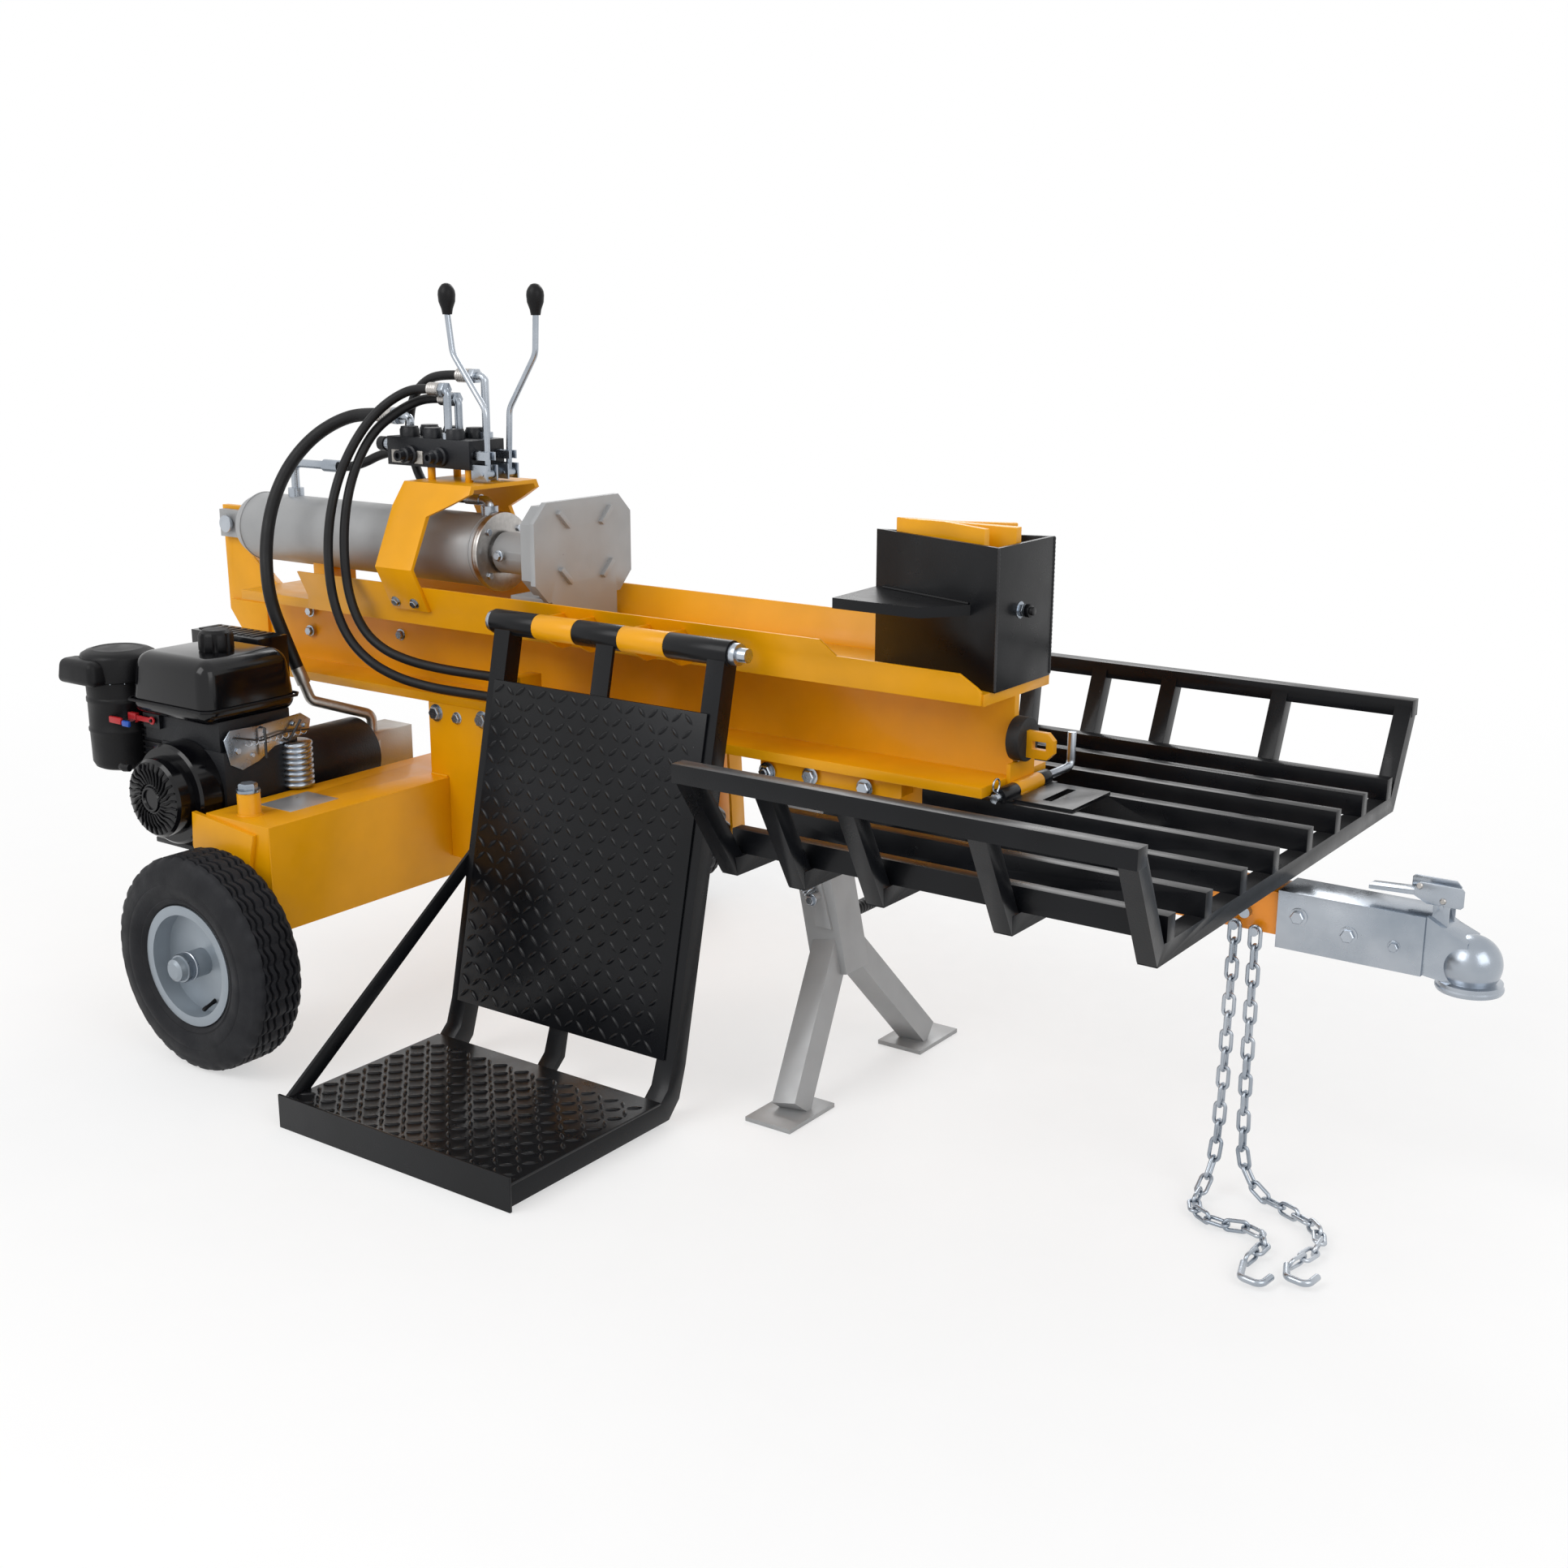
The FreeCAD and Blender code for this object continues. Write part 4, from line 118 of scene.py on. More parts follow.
def floor_finish():
    """Matt white paper that fades into the white surroundings away from the object."""
    result = material("floor_paper", (0.96, 0.96, 0.96), 0.8, vary=0.005, grain=200, bump=0.02)
    tree = result.node_tree
    shader = tree.nodes["Principled BSDF"]
    place = tree.nodes.new("ShaderNodeTexCoord")
    reach = tree.nodes.new("ShaderNodeVectorMath")
    reach.operation = "LENGTH"
    tree.links.new(place.outputs["Object"], reach.inputs[0])
    fade = tree.nodes.new("ShaderNodeMapRange")
    fade.interpolation_type = "SMOOTHSTEP"
    fade.inputs["From Min"].default_value = FADE_START
    fade.inputs["From Max"].default_value = FADE_END
    fade.inputs["To Min"].default_value = FADE_LEAST
    tree.links.new(reach.outputs["Value"], fade.inputs["Value"])
    share = tree.nodes.new("ShaderNodeMath")
    share.operation = "MULTIPLY"
    tree.links.new(fade.outputs["Result"], share.inputs[0])
    tree.links.new(seen_rays(tree), share.inputs[1])
    glow = tree.nodes.new("ShaderNodeEmission")
    blend = tree.nodes.new("ShaderNodeMixShader")
    tree.links.new(share.outputs["Value"], blend.inputs["Fac"])
    tree.links.new(shader.outputs["BSDF"], blend.inputs[1])
    tree.links.new(glow.outputs["Emission"], blend.inputs[2])
    tree.links.new(blend.outputs["Shader"], tree.nodes["Material Output"].inputs["Surface"])
    return result


def studio():
    """The world, the floor and the three lamps."""
    scene = bpy.context.scene
    scene.view_settings.view_transform = "Standard"
    world = bpy.data.worlds.new("white_room")
    scene.world = world
    world.use_nodes = True
    tree = world.node_tree
    sky = tree.nodes["Background"]
    sky.inputs["Color"].default_value = (1, 1, 1, 1)
    # White where it is seen or mirrored, and a plain level where it lights the object
    seen = seen_rays(tree)
    level = tree.nodes.new("ShaderNodeMapRange")
    level.inputs["To Min"].default_value = WORLD_LEVEL
    level.inputs["To Max"].default_value = 1.0
    tree.links.new(seen, level.inputs["Value"])
    tree.links.new(level.outputs["Result"], sky.inputs["Strength"])

    mesh = bpy.data.meshes.new("floor")
    far = FLOOR_REACH
    mesh.from_pydata([(-far, -far, 0), (far, -far, 0), (far, far, 0), (-far, far, 0)], [], [(0, 1, 2, 3)])
    floor = bpy.data.objects.new("floor", mesh)
    floor.location.z = -FLOOR_DROP
    scene.collection.objects.link(floor)
    mesh.materials.append(floor_finish())

    for name, (spot, size, power) in LIGHTS.items():
        data = bpy.data.lights.new(name, "AREA")
        data.size = size
        data.energy = power
        light = bpy.data.objects.new(name, data)
        light.location = spot
        light.rotation_euler = (LIGHT_AIM - Vector(spot)).to_track_quat("-Z", "Y").to_euler()
        scene.collection.objects.link(light)


# Materials, each from noise on the object's own coordinates


def material(name, colour, rough, metal=0.0, vary=0.06, grain=600, bump=0.15, coat=0.0, worn=0.0,
             stretch=(1, 1, 1), second=None, dust=0.0, shine=0.5):
    """Base colour with soft variation, uneven roughness, fine bump, and worn or dusty patches."""
    result = bpy.data.materials.new(name)
    result.use_nodes = True
    tree = result.node_tree
    new = tree.nodes.new
    link = tree.links.new
    shader = tree.nodes["Principled BSDF"]
    shader.inputs["Metallic"].default_value = metal
    shader.inputs["Coat Weight"].default_value = coat
    shader.inputs["Coat Roughness"].default_value = 0.12
    shader.inputs["Specular IOR Level"].default_value = shine
    place = new("ShaderNodeTexCoord")
    mapping = new("ShaderNodeMapping")
    mapping.inputs["Scale"].default_value = stretch
    link(place.outputs["Object"], mapping.inputs["Vector"])

    def noise(scale, detail=4.0):
        node = new("ShaderNodeTexNoise")
        node.inputs["Scale"].default_value = scale
        node.inputs["Detail"].default_value = detail
        link(mapping.outputs["Vector"], node.inputs["Vector"])
        return node.outputs["Fac"]

    def ramp(source, low, high, first, last):
        node = new("ShaderNodeValToRGB")
        node.color_ramp.elements[0].position = low
        node.color_ramp.elements[1].position = high
        node.color_ramp.elements[0].color = first
        node.color_ramp.elements[1].color = last
        link(source, node.inputs["Fac"])
        return node.outputs["Color"]

    def mix(factor, a, b):
        node = new("ShaderNodeMix")
        node.data_type = "RGBA"
        link(factor, node.inputs["Factor"])
        link(a, node.inputs["A"])
        if isinstance(b, tuple):
            node.inputs["B"].default_value = b
        else:
            link(b, node.inputs["B"])
        return node.outputs["Result"]

    other = second or tuple(c * (1 - 2 * vary) for c in colour)
    light = tuple(min(1, c * (1 + vary)) for c in colour)
    base = ramp(noise(7), 0.3, 0.7, (*other, 1), (*light, 1))
    if worn:
        patch = ramp(noise(90, 8), 0.78 - worn, 0.8 - worn, (0, 0, 0, 1), (1, 1, 1, 1))
        base = mix(patch, base, tuple(0.35 * c + 0.12 for c in colour) + (1,))
    if dust:
        normal = new("ShaderNodeNewGeometry")
        split = new("ShaderNodeSeparateXYZ")
        link(normal.outputs["Normal"], split.inputs["Vector"])
        facing = ramp(split.outputs["Z"], 0.5, 1.0, (0, 0, 0, 1), (dust, dust, dust, 1))
        base = mix(facing, base, (0.32, 0.29, 0.25, 1))
    link(base, shader.inputs["Base Color"])
    spread = ramp(noise(22, 6), 0.25, 0.75, (rough * 0.8,) * 3 + (1,),
                  (min(1, rough * 1.25),) * 3 + (1,))
    link(spread, shader.inputs["Roughness"])
    relief = new("ShaderNodeBump")
    relief.inputs["Strength"].default_value = bump
    relief.inputs["Distance"].default_value = 0.001
    link(noise(grain, 3), relief.inputs["Height"])
    link(relief.outputs["Normal"], shader.inputs["Normal"])
    return result


def materials():
    """Every look of the scene, by a short name."""
    return {
        "yellow": material("yellow_paint", (0.82, 0.36, 0.0), 0.36, vary=0.05, grain=420, bump=0.12,
                           coat=0.1, worn=0.03, dust=0.01, shine=0.3),
        "orange": material("tongue_paint", (0.88, 0.28, 0.004), 0.34, vary=0.05, grain=420, bump=0.12,
                           coat=0.25, worn=0.03),
        "grey": material("grey_paint", (0.37, 0.375, 0.38), 0.46, metal=0.3, vary=0.05, grain=500,
                         bump=0.15, worn=0.03),
        "black": material("black_paint", (0.004, 0.0045, 0.006), 0.3, vary=0.2, grain=380, bump=0.12,
                          coat=0.06, worn=0.02, dust=0.01, shine=0.2),
        "tyre": material("tyre_rubber", (0.006, 0.0065, 0.009), 0.6, vary=0.2, grain=350, bump=0.35,
                         shine=0.3),
        "rim": material("rim_paint", (0.30, 0.34, 0.38), 0.34, metal=0.55, vary=0.06, grain=500, bump=0.1),
        "chrome": material("chrome", (0.72, 0.73, 0.75), 0.1, metal=1.0, vary=0.03, grain=900, bump=0.03),
        "zinc": material("zinc", (0.46, 0.49, 0.53), 0.27, metal=1.0, vary=0.12, grain=260, bump=0.12,
                         second=(0.30, 0.34, 0.39)),
        "steel": material("brushed_steel", (0.50, 0.48, 0.46), 0.33, metal=1.0, vary=0.08, grain=160,
                          bump=0.12, stretch=(1, 14, 14)),
        "cast": material("cast_alloy", (0.44, 0.42, 0.39), 0.38, metal=0.9, vary=0.08, grain=300, bump=0.3),
        "valve": material("valve_casting", (0.008, 0.009, 0.012), 0.4, metal=0.1, vary=0.3, grain=260,
                          bump=0.4, shine=0.35),
        "plastic": material("moulded_plastic", (0.005, 0.005, 0.006), 0.42, vary=0.2, grain=420, bump=0.3,
                            shine=0.22),
        "gloss": material("engine_enamel", (0.003, 0.003, 0.004), 0.16, vary=0.2, grain=120, bump=0.04,
                          coat=0.2, shine=0.25),
        "hose": material("hose_rubber", (0.006, 0.006, 0.007), 0.5, vary=0.2, grain=500, bump=0.25,
                         shine=0.3),
        "bumper": material("bumper_rubber", (0.010, 0.010, 0.011), 0.6, vary=0.2, grain=300, bump=0.3),
        "red": material("red_plastic", (0.45, 0.01, 0.015), 0.35, vary=0.1, grain=300, bump=0.1),
        "blue": material("blue_plastic", (0.01, 0.08, 0.45), 0.35, vary=0.1, grain=300, bump=0.1),
        "plate": material("blank_plate", (0.62, 0.63, 0.64), 0.32, metal=0.7, vary=0.04, grain=500,
                          bump=0.05),
        "dark": material("dark_steel", (0.05, 0.05, 0.052), 0.4, metal=0.8, vary=0.15, grain=300, bump=0.2),
    }


# Mesh tools: every piece is built in metres in the shared frame


def piece(name, verts, faces, look, body, slot, smooth=35, bevel=0.0):
    """A mesh piece that rides on a body and takes its look's finish; its slot is not used."""
    mesh = bpy.data.meshes.new(name)
    mesh.from_pydata([tuple(v) for v in verts], [], faces)
    mesh.validate()
    form = bmesh.new()
    form.from_mesh(mesh)
    bmesh.ops.remove_doubles(form, verts=form.verts, dist=1e-6)
    bmesh.ops.recalc_face_normals(form, faces=form.faces)
    form.to_mesh(mesh)
    form.free()
    thing = bpy.data.objects.new(name, mesh)
    bpy.context.scene.collection.objects.link(thing)
    mesh.materials.append(LOOK[look])
    soften(thing, bevel, smooth)
    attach(thing, body)
    return thing


def soften(thing, bevel, smooth):
    """Rounded edges and smooth faces, as modifiers."""
    mesh = thing.data
    if "custom_normal" in mesh.attributes:
        mesh.attributes.remove(mesh.attributes["custom_normal"])
    mesh.polygons.foreach_set("use_smooth", [True] * len(mesh.polygons))
    if bevel:
        weld = thing.modifiers.new("weld", "WELD")
        weld.merge_threshold = 1e-5
        edge = thing.modifiers.new("edge", "BEVEL")
        edge.width = bevel
        edge.segments = 2
        edge.limit_method = "ANGLE"
        edge.angle_limit = math.radians(50)
    split = thing.modifiers.new("split", "EDGE_SPLIT")
    split.split_angle = math.radians(smooth)


def basis(direction):
    """Two unit directions across a direction."""
    along = Vector(direction).normalized()
    side = along.cross(Vector((0, 0, 1)))
    if side.length < 1e-3:
        side = Vector((1, 0, 0))
    side.normalize()
    return along, side, along.cross(side).normalized()


def lathe(profile, spot, direction, steps=48, relief=None):
    """Verts and faces of a turned form: profile gives place along the axis and radius, in metres."""
    along, side, up = basis(direction)
    verts = []
    faces = []
    count = len(profile)
    for i in range(steps):
        angle = 2 * PI * i / steps
        for j, (reach, radius) in enumerate(profile):
            r = radius + (relief(j, i) if relief else 0)
            across = side * math.cos(angle) + up * math.sin(angle)
            verts.append(Vector(spot) + along * reach + across * r)
    for i in range(steps):
        k = (i + 1) % steps
        for j in range(count - 1):
            faces.append((i * count + j, k * count + j, k * count + j + 1, i * count + j + 1))
    return verts, faces


def prism(points, spot, direction, depth):
    """Verts and faces of a drawn outline pushed along a direction."""
    along, side, up = basis(direction)
    count = len(points)
    verts = [Vector(spot) + side * a + up * b + along * h for h in (0, depth) for a, b in points]
    faces = [tuple(range(count - 1, -1, -1)), tuple(range(count, 2 * count))]
    faces += [(i, (i + 1) % count, count + (i + 1) % count, count + i) for i in range(count)]
    return verts, faces


def slab(x, y, z):
    """Verts and faces of a block between machine millimetres."""
    verts = [at(a, b, c) for c in z for b in y for a in x]
    return verts, [(0, 2, 3, 1), (4, 5, 7, 6), (0, 1, 5, 4), (2, 6, 7, 3), (0, 4, 6, 2), (1, 3, 7, 5)]


def gather(*forms):
    """Several forms as one list of verts and faces."""
    verts = []
    faces = []
    for some, more in forms:
        start = len(verts)
        verts += some
        faces += [tuple(i + start for i in face) for face in more]
    return verts, faces


def hexagon(radius):
    """The corners of a hexagon."""
    return [(radius * math.cos(PI * i / 3), radius * math.sin(PI * i / 3)) for i in range(6)]


def bolt(spot, direction, size, washer=True):
    """A hexagon head with a chamfered top, on a washer, standing on a face; size is across the flats."""
    along, side, up = basis(direction)
    r = size / math.sqrt(3) / 1000
    h = size * 0.4 / 1000
    base = 0.0012 if washer else 0.0
    forms = []
    if washer:
        forms.append(lathe([(-0.001, 0), (-0.001, r * 1.3), (base - 0.0003, r * 1.3), (base, r * 1.24),
                            (base, 0)], spot, direction, 24))
    rings = [(base - 0.0005, 0.98), (base + h * 0.8, 1.0), (base + h, 0.86)]
    verts = []
    for reach, scale in rings:
        verts += [Vector(spot) + along * reach + side * a * scale + up * b * scale for a, b in hexagon(r)]
    faces = [tuple(range(12, 18)), tuple(range(5, -1, -1))]
    for level in (0, 6):
        faces += [(level + i, level + (i + 1) % 6, level + 6 + (i + 1) % 6, level + 6 + i)
                  for i in range(6)]
    forms.append((verts, faces))
    return gather(*forms)


def nut_on_stud(spot, direction, size, reach):
    """A nut on a washer with the threaded end of its stud standing out."""
    stud = size * 0.3 / 1000
    pitch = 0.00125
    turns = max(2, int(reach / 1000 / pitch))
    outline = [(0, 0)]
    for i in range(turns):
        outline += [(pitch * i, stud), (pitch * (i + 0.5), stud * 0.86)]
    outline += [(pitch * turns, stud * 0.8), (pitch * turns, 0)]
    return gather(bolt(spot, direction, size), lathe(outline, spot, direction, 20))


def rod_path(points, radius, steps=12):
    """A round bar along a path of points, with flat ends."""
    points = [Vector(p) for p in points]
    verts = []
    faces = []
    count = len(points)
    old = None
    for i, p in enumerate(points):
        ahead = (points[min(i + 1, count - 1)] - points[max(i - 1, 0)]).normalized()
        if old is None:
            old = basis(ahead)[1]
        side = (old - ahead * old.dot(ahead)).normalized()
        old = side
        up = ahead.cross(side)
        verts += [p + (side * math.cos(2 * PI * k / steps) + up * math.sin(2 * PI * k / steps)) * radius
                  for k in range(steps)]
    for i in range(count - 1):
        for k in range(steps):
            n = (k + 1) % steps
            faces.append((i * steps + k, i * steps + n, (i + 1) * steps + n, (i + 1) * steps + k))
    faces.append(tuple(range(steps - 1, -1, -1)))
    faces.append(tuple(range((count - 1) * steps, count * steps)))
    return verts, faces


def arc(centre, a, b, radius, first, last, steps=10):
    """Points on an arc from one angle to another, in degrees, in the plane of two directions."""
    centre, a, b = Vector(centre), Vector(a), Vector(b)
    return [centre + (a * math.cos(math.radians(t)) + b * math.sin(math.radians(t))) * radius
            for t in [first + (last - first) * i / steps for i in range(steps + 1)]]


LOOK = materials()
camera()
studio()

# The CAD nodes that stay, with their finish

FINISH = {
    "yellow": "beam wing_near wing_far oil_tank axle_ends pedestal wedge_blade valve_bracket lift_brackets "
              "tongue_receiver",
    "orange": "tongue",
    "grey": "cylinder_barrel push_plate jack_stand",
    "black": "four_way_wedge lift_frame lift_back_plate lift_shelf table lift_cylinder_barrel engine_deck",
    "bumper": "end_bumper",
    "rim": "rim_near rim_far",
    "chrome": "piston_rod lift_cylinder_rod",
    "zinc": "coupler coupler_latch anchor_pin lift_hinge_pin table_pin safety_chains jack_spring lever_yoke "
            "valve_fittings filler_plug drive_coupling cylinder_ports split_spool lift_spool "
            "split_lever lift_lever",
    "steel": "cylinder_gland",
    "cast": "pump",
    "valve": "valve_body bell_housing engine_block",
    "gloss": "fuel_tank recoil_starter muffler_cover",
    "plastic": "air_cleaner fuel_cap",
    "red": "throttle_lever",
}
NO_BEVEL = ("jack_spring", "safety_chains", "piston_rod", "lift_cylinder_rod", "split_lever", "lift_lever",
            "valve_fittings", "cylinder_ports")


def dress_nodes():
    """A look and soft edges for each CAD node that stays."""
    for look, names in FINISH.items():
        for name in names.split():
            node = NODES[name]
            node.data.materials.clear()
            node.data.materials.append(LOOK[look])
            soften(node, 0.0 if name in NO_BEVEL else 0.0012, 33)


dress_nodes()

# Hoses: the routes of the CAD in machine millimetres, as smooth splines

ROUTES = {
    "pressure_hose": ("pressure_hose_line", 27, (
        (-182, 4, 1166), (-240, 4, 1166), (-296, -12, 1150), (-342, -42, 1116), (-366, -84, 1066),
        (-368, -128, 1006), (-356, -166, 938), (-338, -192, 864), (-318, -202, 788), (-294, -192, 716),
        (-274, -180, 652))),
    "raise_hose": ("lift_hose_raise", 19, (
        (4, -34, 1226), (-36, -34, 1226), (-75, -42, 1213), (-107, -60, 1189), (-129, -86, 1155),
        (-144, -118, 1106), (-153, -150, 1044), (-155, -176, 966), (-147, -192, 884), (-132, -197, 806),
        (-100, -195, 738), (-46, -188, 692), (24, -178, 666), (104, -168, 655), (172, -158, 652),
        (238, -150, 651), (298, -150, 651))),
    "lower_hose": ("lift_hose_lower", 19, (
        (4, -4, 1206), (-34, -4, 1206), (-71, -14, 1194), (-102, -36, 1172), (-124, -68, 1142),
        (-134, -102, 1094), (-136, -134, 1032), (-133, -156, 960), (-125, -168, 884), (-110, -173, 812),
        (-78, -172, 752), (-28, -166, 716), (36, -156, 698), (108, -146, 690), (174, -136, 687),
        (238, -132, 687), (298, -132, 687))),
    "rear_hose": ("rear_port_hose", 19, (
        (-134, 18, 1092), (-182, 18, 1092), (-262, 0, 1053), (-310, 0, 1053))),
    "front_hose": ("front_port_hose", 19, (
        (22, 30, 1251), (-32, 30, 1251), (-80, 33, 1236), (-120, 40, 1206), (-144, 48, 1162),
        (-152, 53, 1114), (-145, 55, 1073), (-123, 50, 1036), (-88, 41, 1011), (-47, 29, 1003),
        (6, 0, 1010), (60, 0, 1010))),
}


def hoses():
    """A round hose along each route, in place of the CAD's."""
    for name, (node, diameter, route) in ROUTES.items():
        curve = bpy.data.curves.new(name, "CURVE")
        curve.dimensions = "3D"
        spline = curve.splines.new("NURBS")
        spline.points.add(len(route) - 1)
        for point, spot in zip(spline.points, route):
            point.co = (*at(*spot), 1)
        spline.order_u = 3
        spline.use_endpoint_u = True
        spline.resolution_u = 16
        curve.bevel_depth = diameter / 2000
        curve.bevel_resolution = 8
        curve.use_fill_caps = True
        thing = bpy.data.objects.new(name, curve)
        bpy.context.scene.collection.objects.link(thing)
        curve.materials.append(LOOK["hose"])
        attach(thing, "chassis")
        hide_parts(node)


hoses()

# Wheels: tyres with ribs, side wall rings and zigzag grooves, and the parts on their hubs

WHEELS = (("near", -664, -1), ("far", 664, 1))
GROOVE_DEPTH = 0.0055
NOTCH_DEPTH = 0.0035
ZIGZAG = 0.0022


def tyres():
    """A turned tyre with its valve stem and hub ring for each wheel."""
    half = [(47, 102), (47, 117), (52, 122), (55, 127), (54, 130), (57.5, 136), (60, 143), (61, 150),
            (61, 157), (60.2, 158), (60.4, 162), (59, 170), (57, 178), (54.2, 185), (53.8, 187), (52, 192),
            (48.5, 198), (46, 202), (42, 204.4), (38, 205.4)]
    tread = [(36, 0), (34.5, 1), (29, 1), (27.5, 0), (24, 0), (22.5, 1), (14, 1), (12.5, 0), (9, 0),
             (7.5, 1), (3, 1)]
    crown = 206.8
    steps = 144
    for side, across, out in WHEELS:
        profile = list(half)
        grooves = set()
        for a, high in tread:
            if not high:
                grooves.add(len(profile))
            profile.append((a, crown if high else crown - 1))
        middle = len(profile)
        profile.append((0, crown + 0.2))
        mirrored = [(-a, r) for a, r in reversed(profile[:middle])]
        for number in list(grooves):
            grooves.add(2 * middle - number)
        profile = [(a / 1000, r / 1000) for a, r in profile + mirrored]

        def relief(j, i, grooves=grooves, total=len(profile)):
            if j in grooves:
                return -GROOVE_DEPTH
            if 15 < j < total - 16:
                return -NOTCH_DEPTH if i % 4 == 0 else 0.0
            return 0.0

        verts, faces = lathe(profile, at(0, across, AXLE_HEIGHT), (0, 1, 0), steps, relief)
        # Zigzag of the grooves: neighbouring sections lean to either side
        count = len(profile)
        for index, vert in enumerate(verts):
            j, i = index % count, index // count
            if 19 < j < count - 20:
                vert.y += ZIGZAG * (1 if (i // 2) % 2 else -1)
        tyre = piece("tyre_%s_tread" % side, verts, faces, "tyre", "wheel_" + side, "tyre_rubber", 40)
        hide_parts("tyre_" + side)
        valve = lathe([(0, 0.0045), (0.004, 0.0045), (0.012, 0.0036), (0.024, 0.0034), (0.0245, 0.0042),
                       (0.032, 0.0042), (0.034, 0.003), (0.034, 0)],
                      at(26, across + out * 10, AXLE_HEIGHT - 72), (0, out, -0.35), 16)
        piece("valve_stem_" + side, *valve, "plastic", "wheel_" + side, "tyre_rubber")
        ring = lathe([(0, 0.0272), (0.004, 0.0272), (0.005, 0.0262), (0.012, 0.0262), (0.013, 0.0272),
                      (0.02, 0.0268)], at(0, across + out * 44, AXLE_HEIGHT), (0, out, 0), 40)
        piece("hub_ring_" + side, *ring, "zinc", "wheel_" + side, "zinc")


tyres()

# Log lift: raised bars of the chequer plate on the back plate and the shelf

LIFT_LEAN = math.radians(12.5)
BACK_PLATE_LEFT = 347
BACK_PLATE_TOP = 712
BACK_PLATE_FOOT = 112
BACK_PLATE_WIDE = 0.503
HINGE_TO_FACE = 24
SHELF_CORNER = (330, -780, 51)
SHELF_SIZE = (0.54, 0.36)


def lozenge(spot, along, across, normal):
    """One raised bar of chequer plate: a long low form with pointed ends."""
    half, wide, high = 0.0145, 0.0044, 0.0021
    ring = [(-half, 0), (-half * 0.5, -wide * 0.8), (0, -wide), (half * 0.5, -wide * 0.8), (half, 0),
            (half * 0.5, wide * 0.8), (0, wide), (-half * 0.5, wide * 0.8)]
    low = [spot + along * a + across * b - normal * 0.0004 for a, b in ring]
    top = [spot + along * a * 0.72 + across * b * 0.45 + normal * high for a, b in ring]
    faces = [(i, (i + 1) % 8, 8 + (i + 1) % 8, 8 + i) for i in range(8)] + [tuple(range(8, 16))]
    return low + top, faces


def chequer(name, corner, right, up, normal, wide, tall, body):
    """Bars in two directions on a plate, in turn, from a corner over a width and a height."""
    pitch = 0.0265
    forms = []
    for i in range(int(wide / pitch)):
        for j in range(int(tall / pitch)):
            spot = corner + right * (pitch * (i + 0.55)) + up * (pitch * (j + 0.55))
            sign = 1 if (i + j) % 2 else -1
            along = (right + up * 0.9 * sign).normalized()
            forms.append(lozenge(spot, along, normal.cross(along), normal))
    piece(name, *gather(*forms), "black", body, "black_paint", 60)


def lift_plates():
    """The raised bars on the back plate's outer face and on the shelf."""
    down = Vector((0, -math.sin(LIFT_LEAN), -math.cos(LIFT_LEAN)))
    out = Vector((0, -math.cos(LIFT_LEAN), math.sin(LIFT_LEAN)))
    # Outer face of the back plate at its top edge
    y_top = LIFT_HINGE_Y - (LIFT_HINGE_Z - BACK_PLATE_TOP) * math.tan(LIFT_LEAN) - HINGE_TO_FACE
    length = (BACK_PLATE_TOP - BACK_PLATE_FOOT) / 1000 / math.cos(LIFT_LEAN)
    chequer("back_plate_bars", at(BACK_PLATE_LEFT, y_top, BACK_PLATE_TOP), Vector((1, 0, 0)), down, out,
            BACK_PLATE_WIDE, length, "lift")
    chequer("shelf_bars", at(*SHELF_CORNER), Vector((1, 0, 0)), Vector((0, 1, 0)), Vector((0, 0, 1)),
            *SHELF_SIZE, "lift")


lift_plates()

# Bolts, washers and nuts seen on the machine


def bolts(name, look, body, slot, *forms):
    """Several fasteners as one piece."""
    piece(name, *gather(*forms), look, body, slot, 30)


# The wing's sloping face leans out as it rises from its bend, and the bolted face stands outside it
WING_BEND_Y = 119
WING_BEND_Z = 795
WING_RISE = 54
WING_RUN = 26
BOLT_FACE_OUT = 9
BRACKET_BOLT_Z = 812


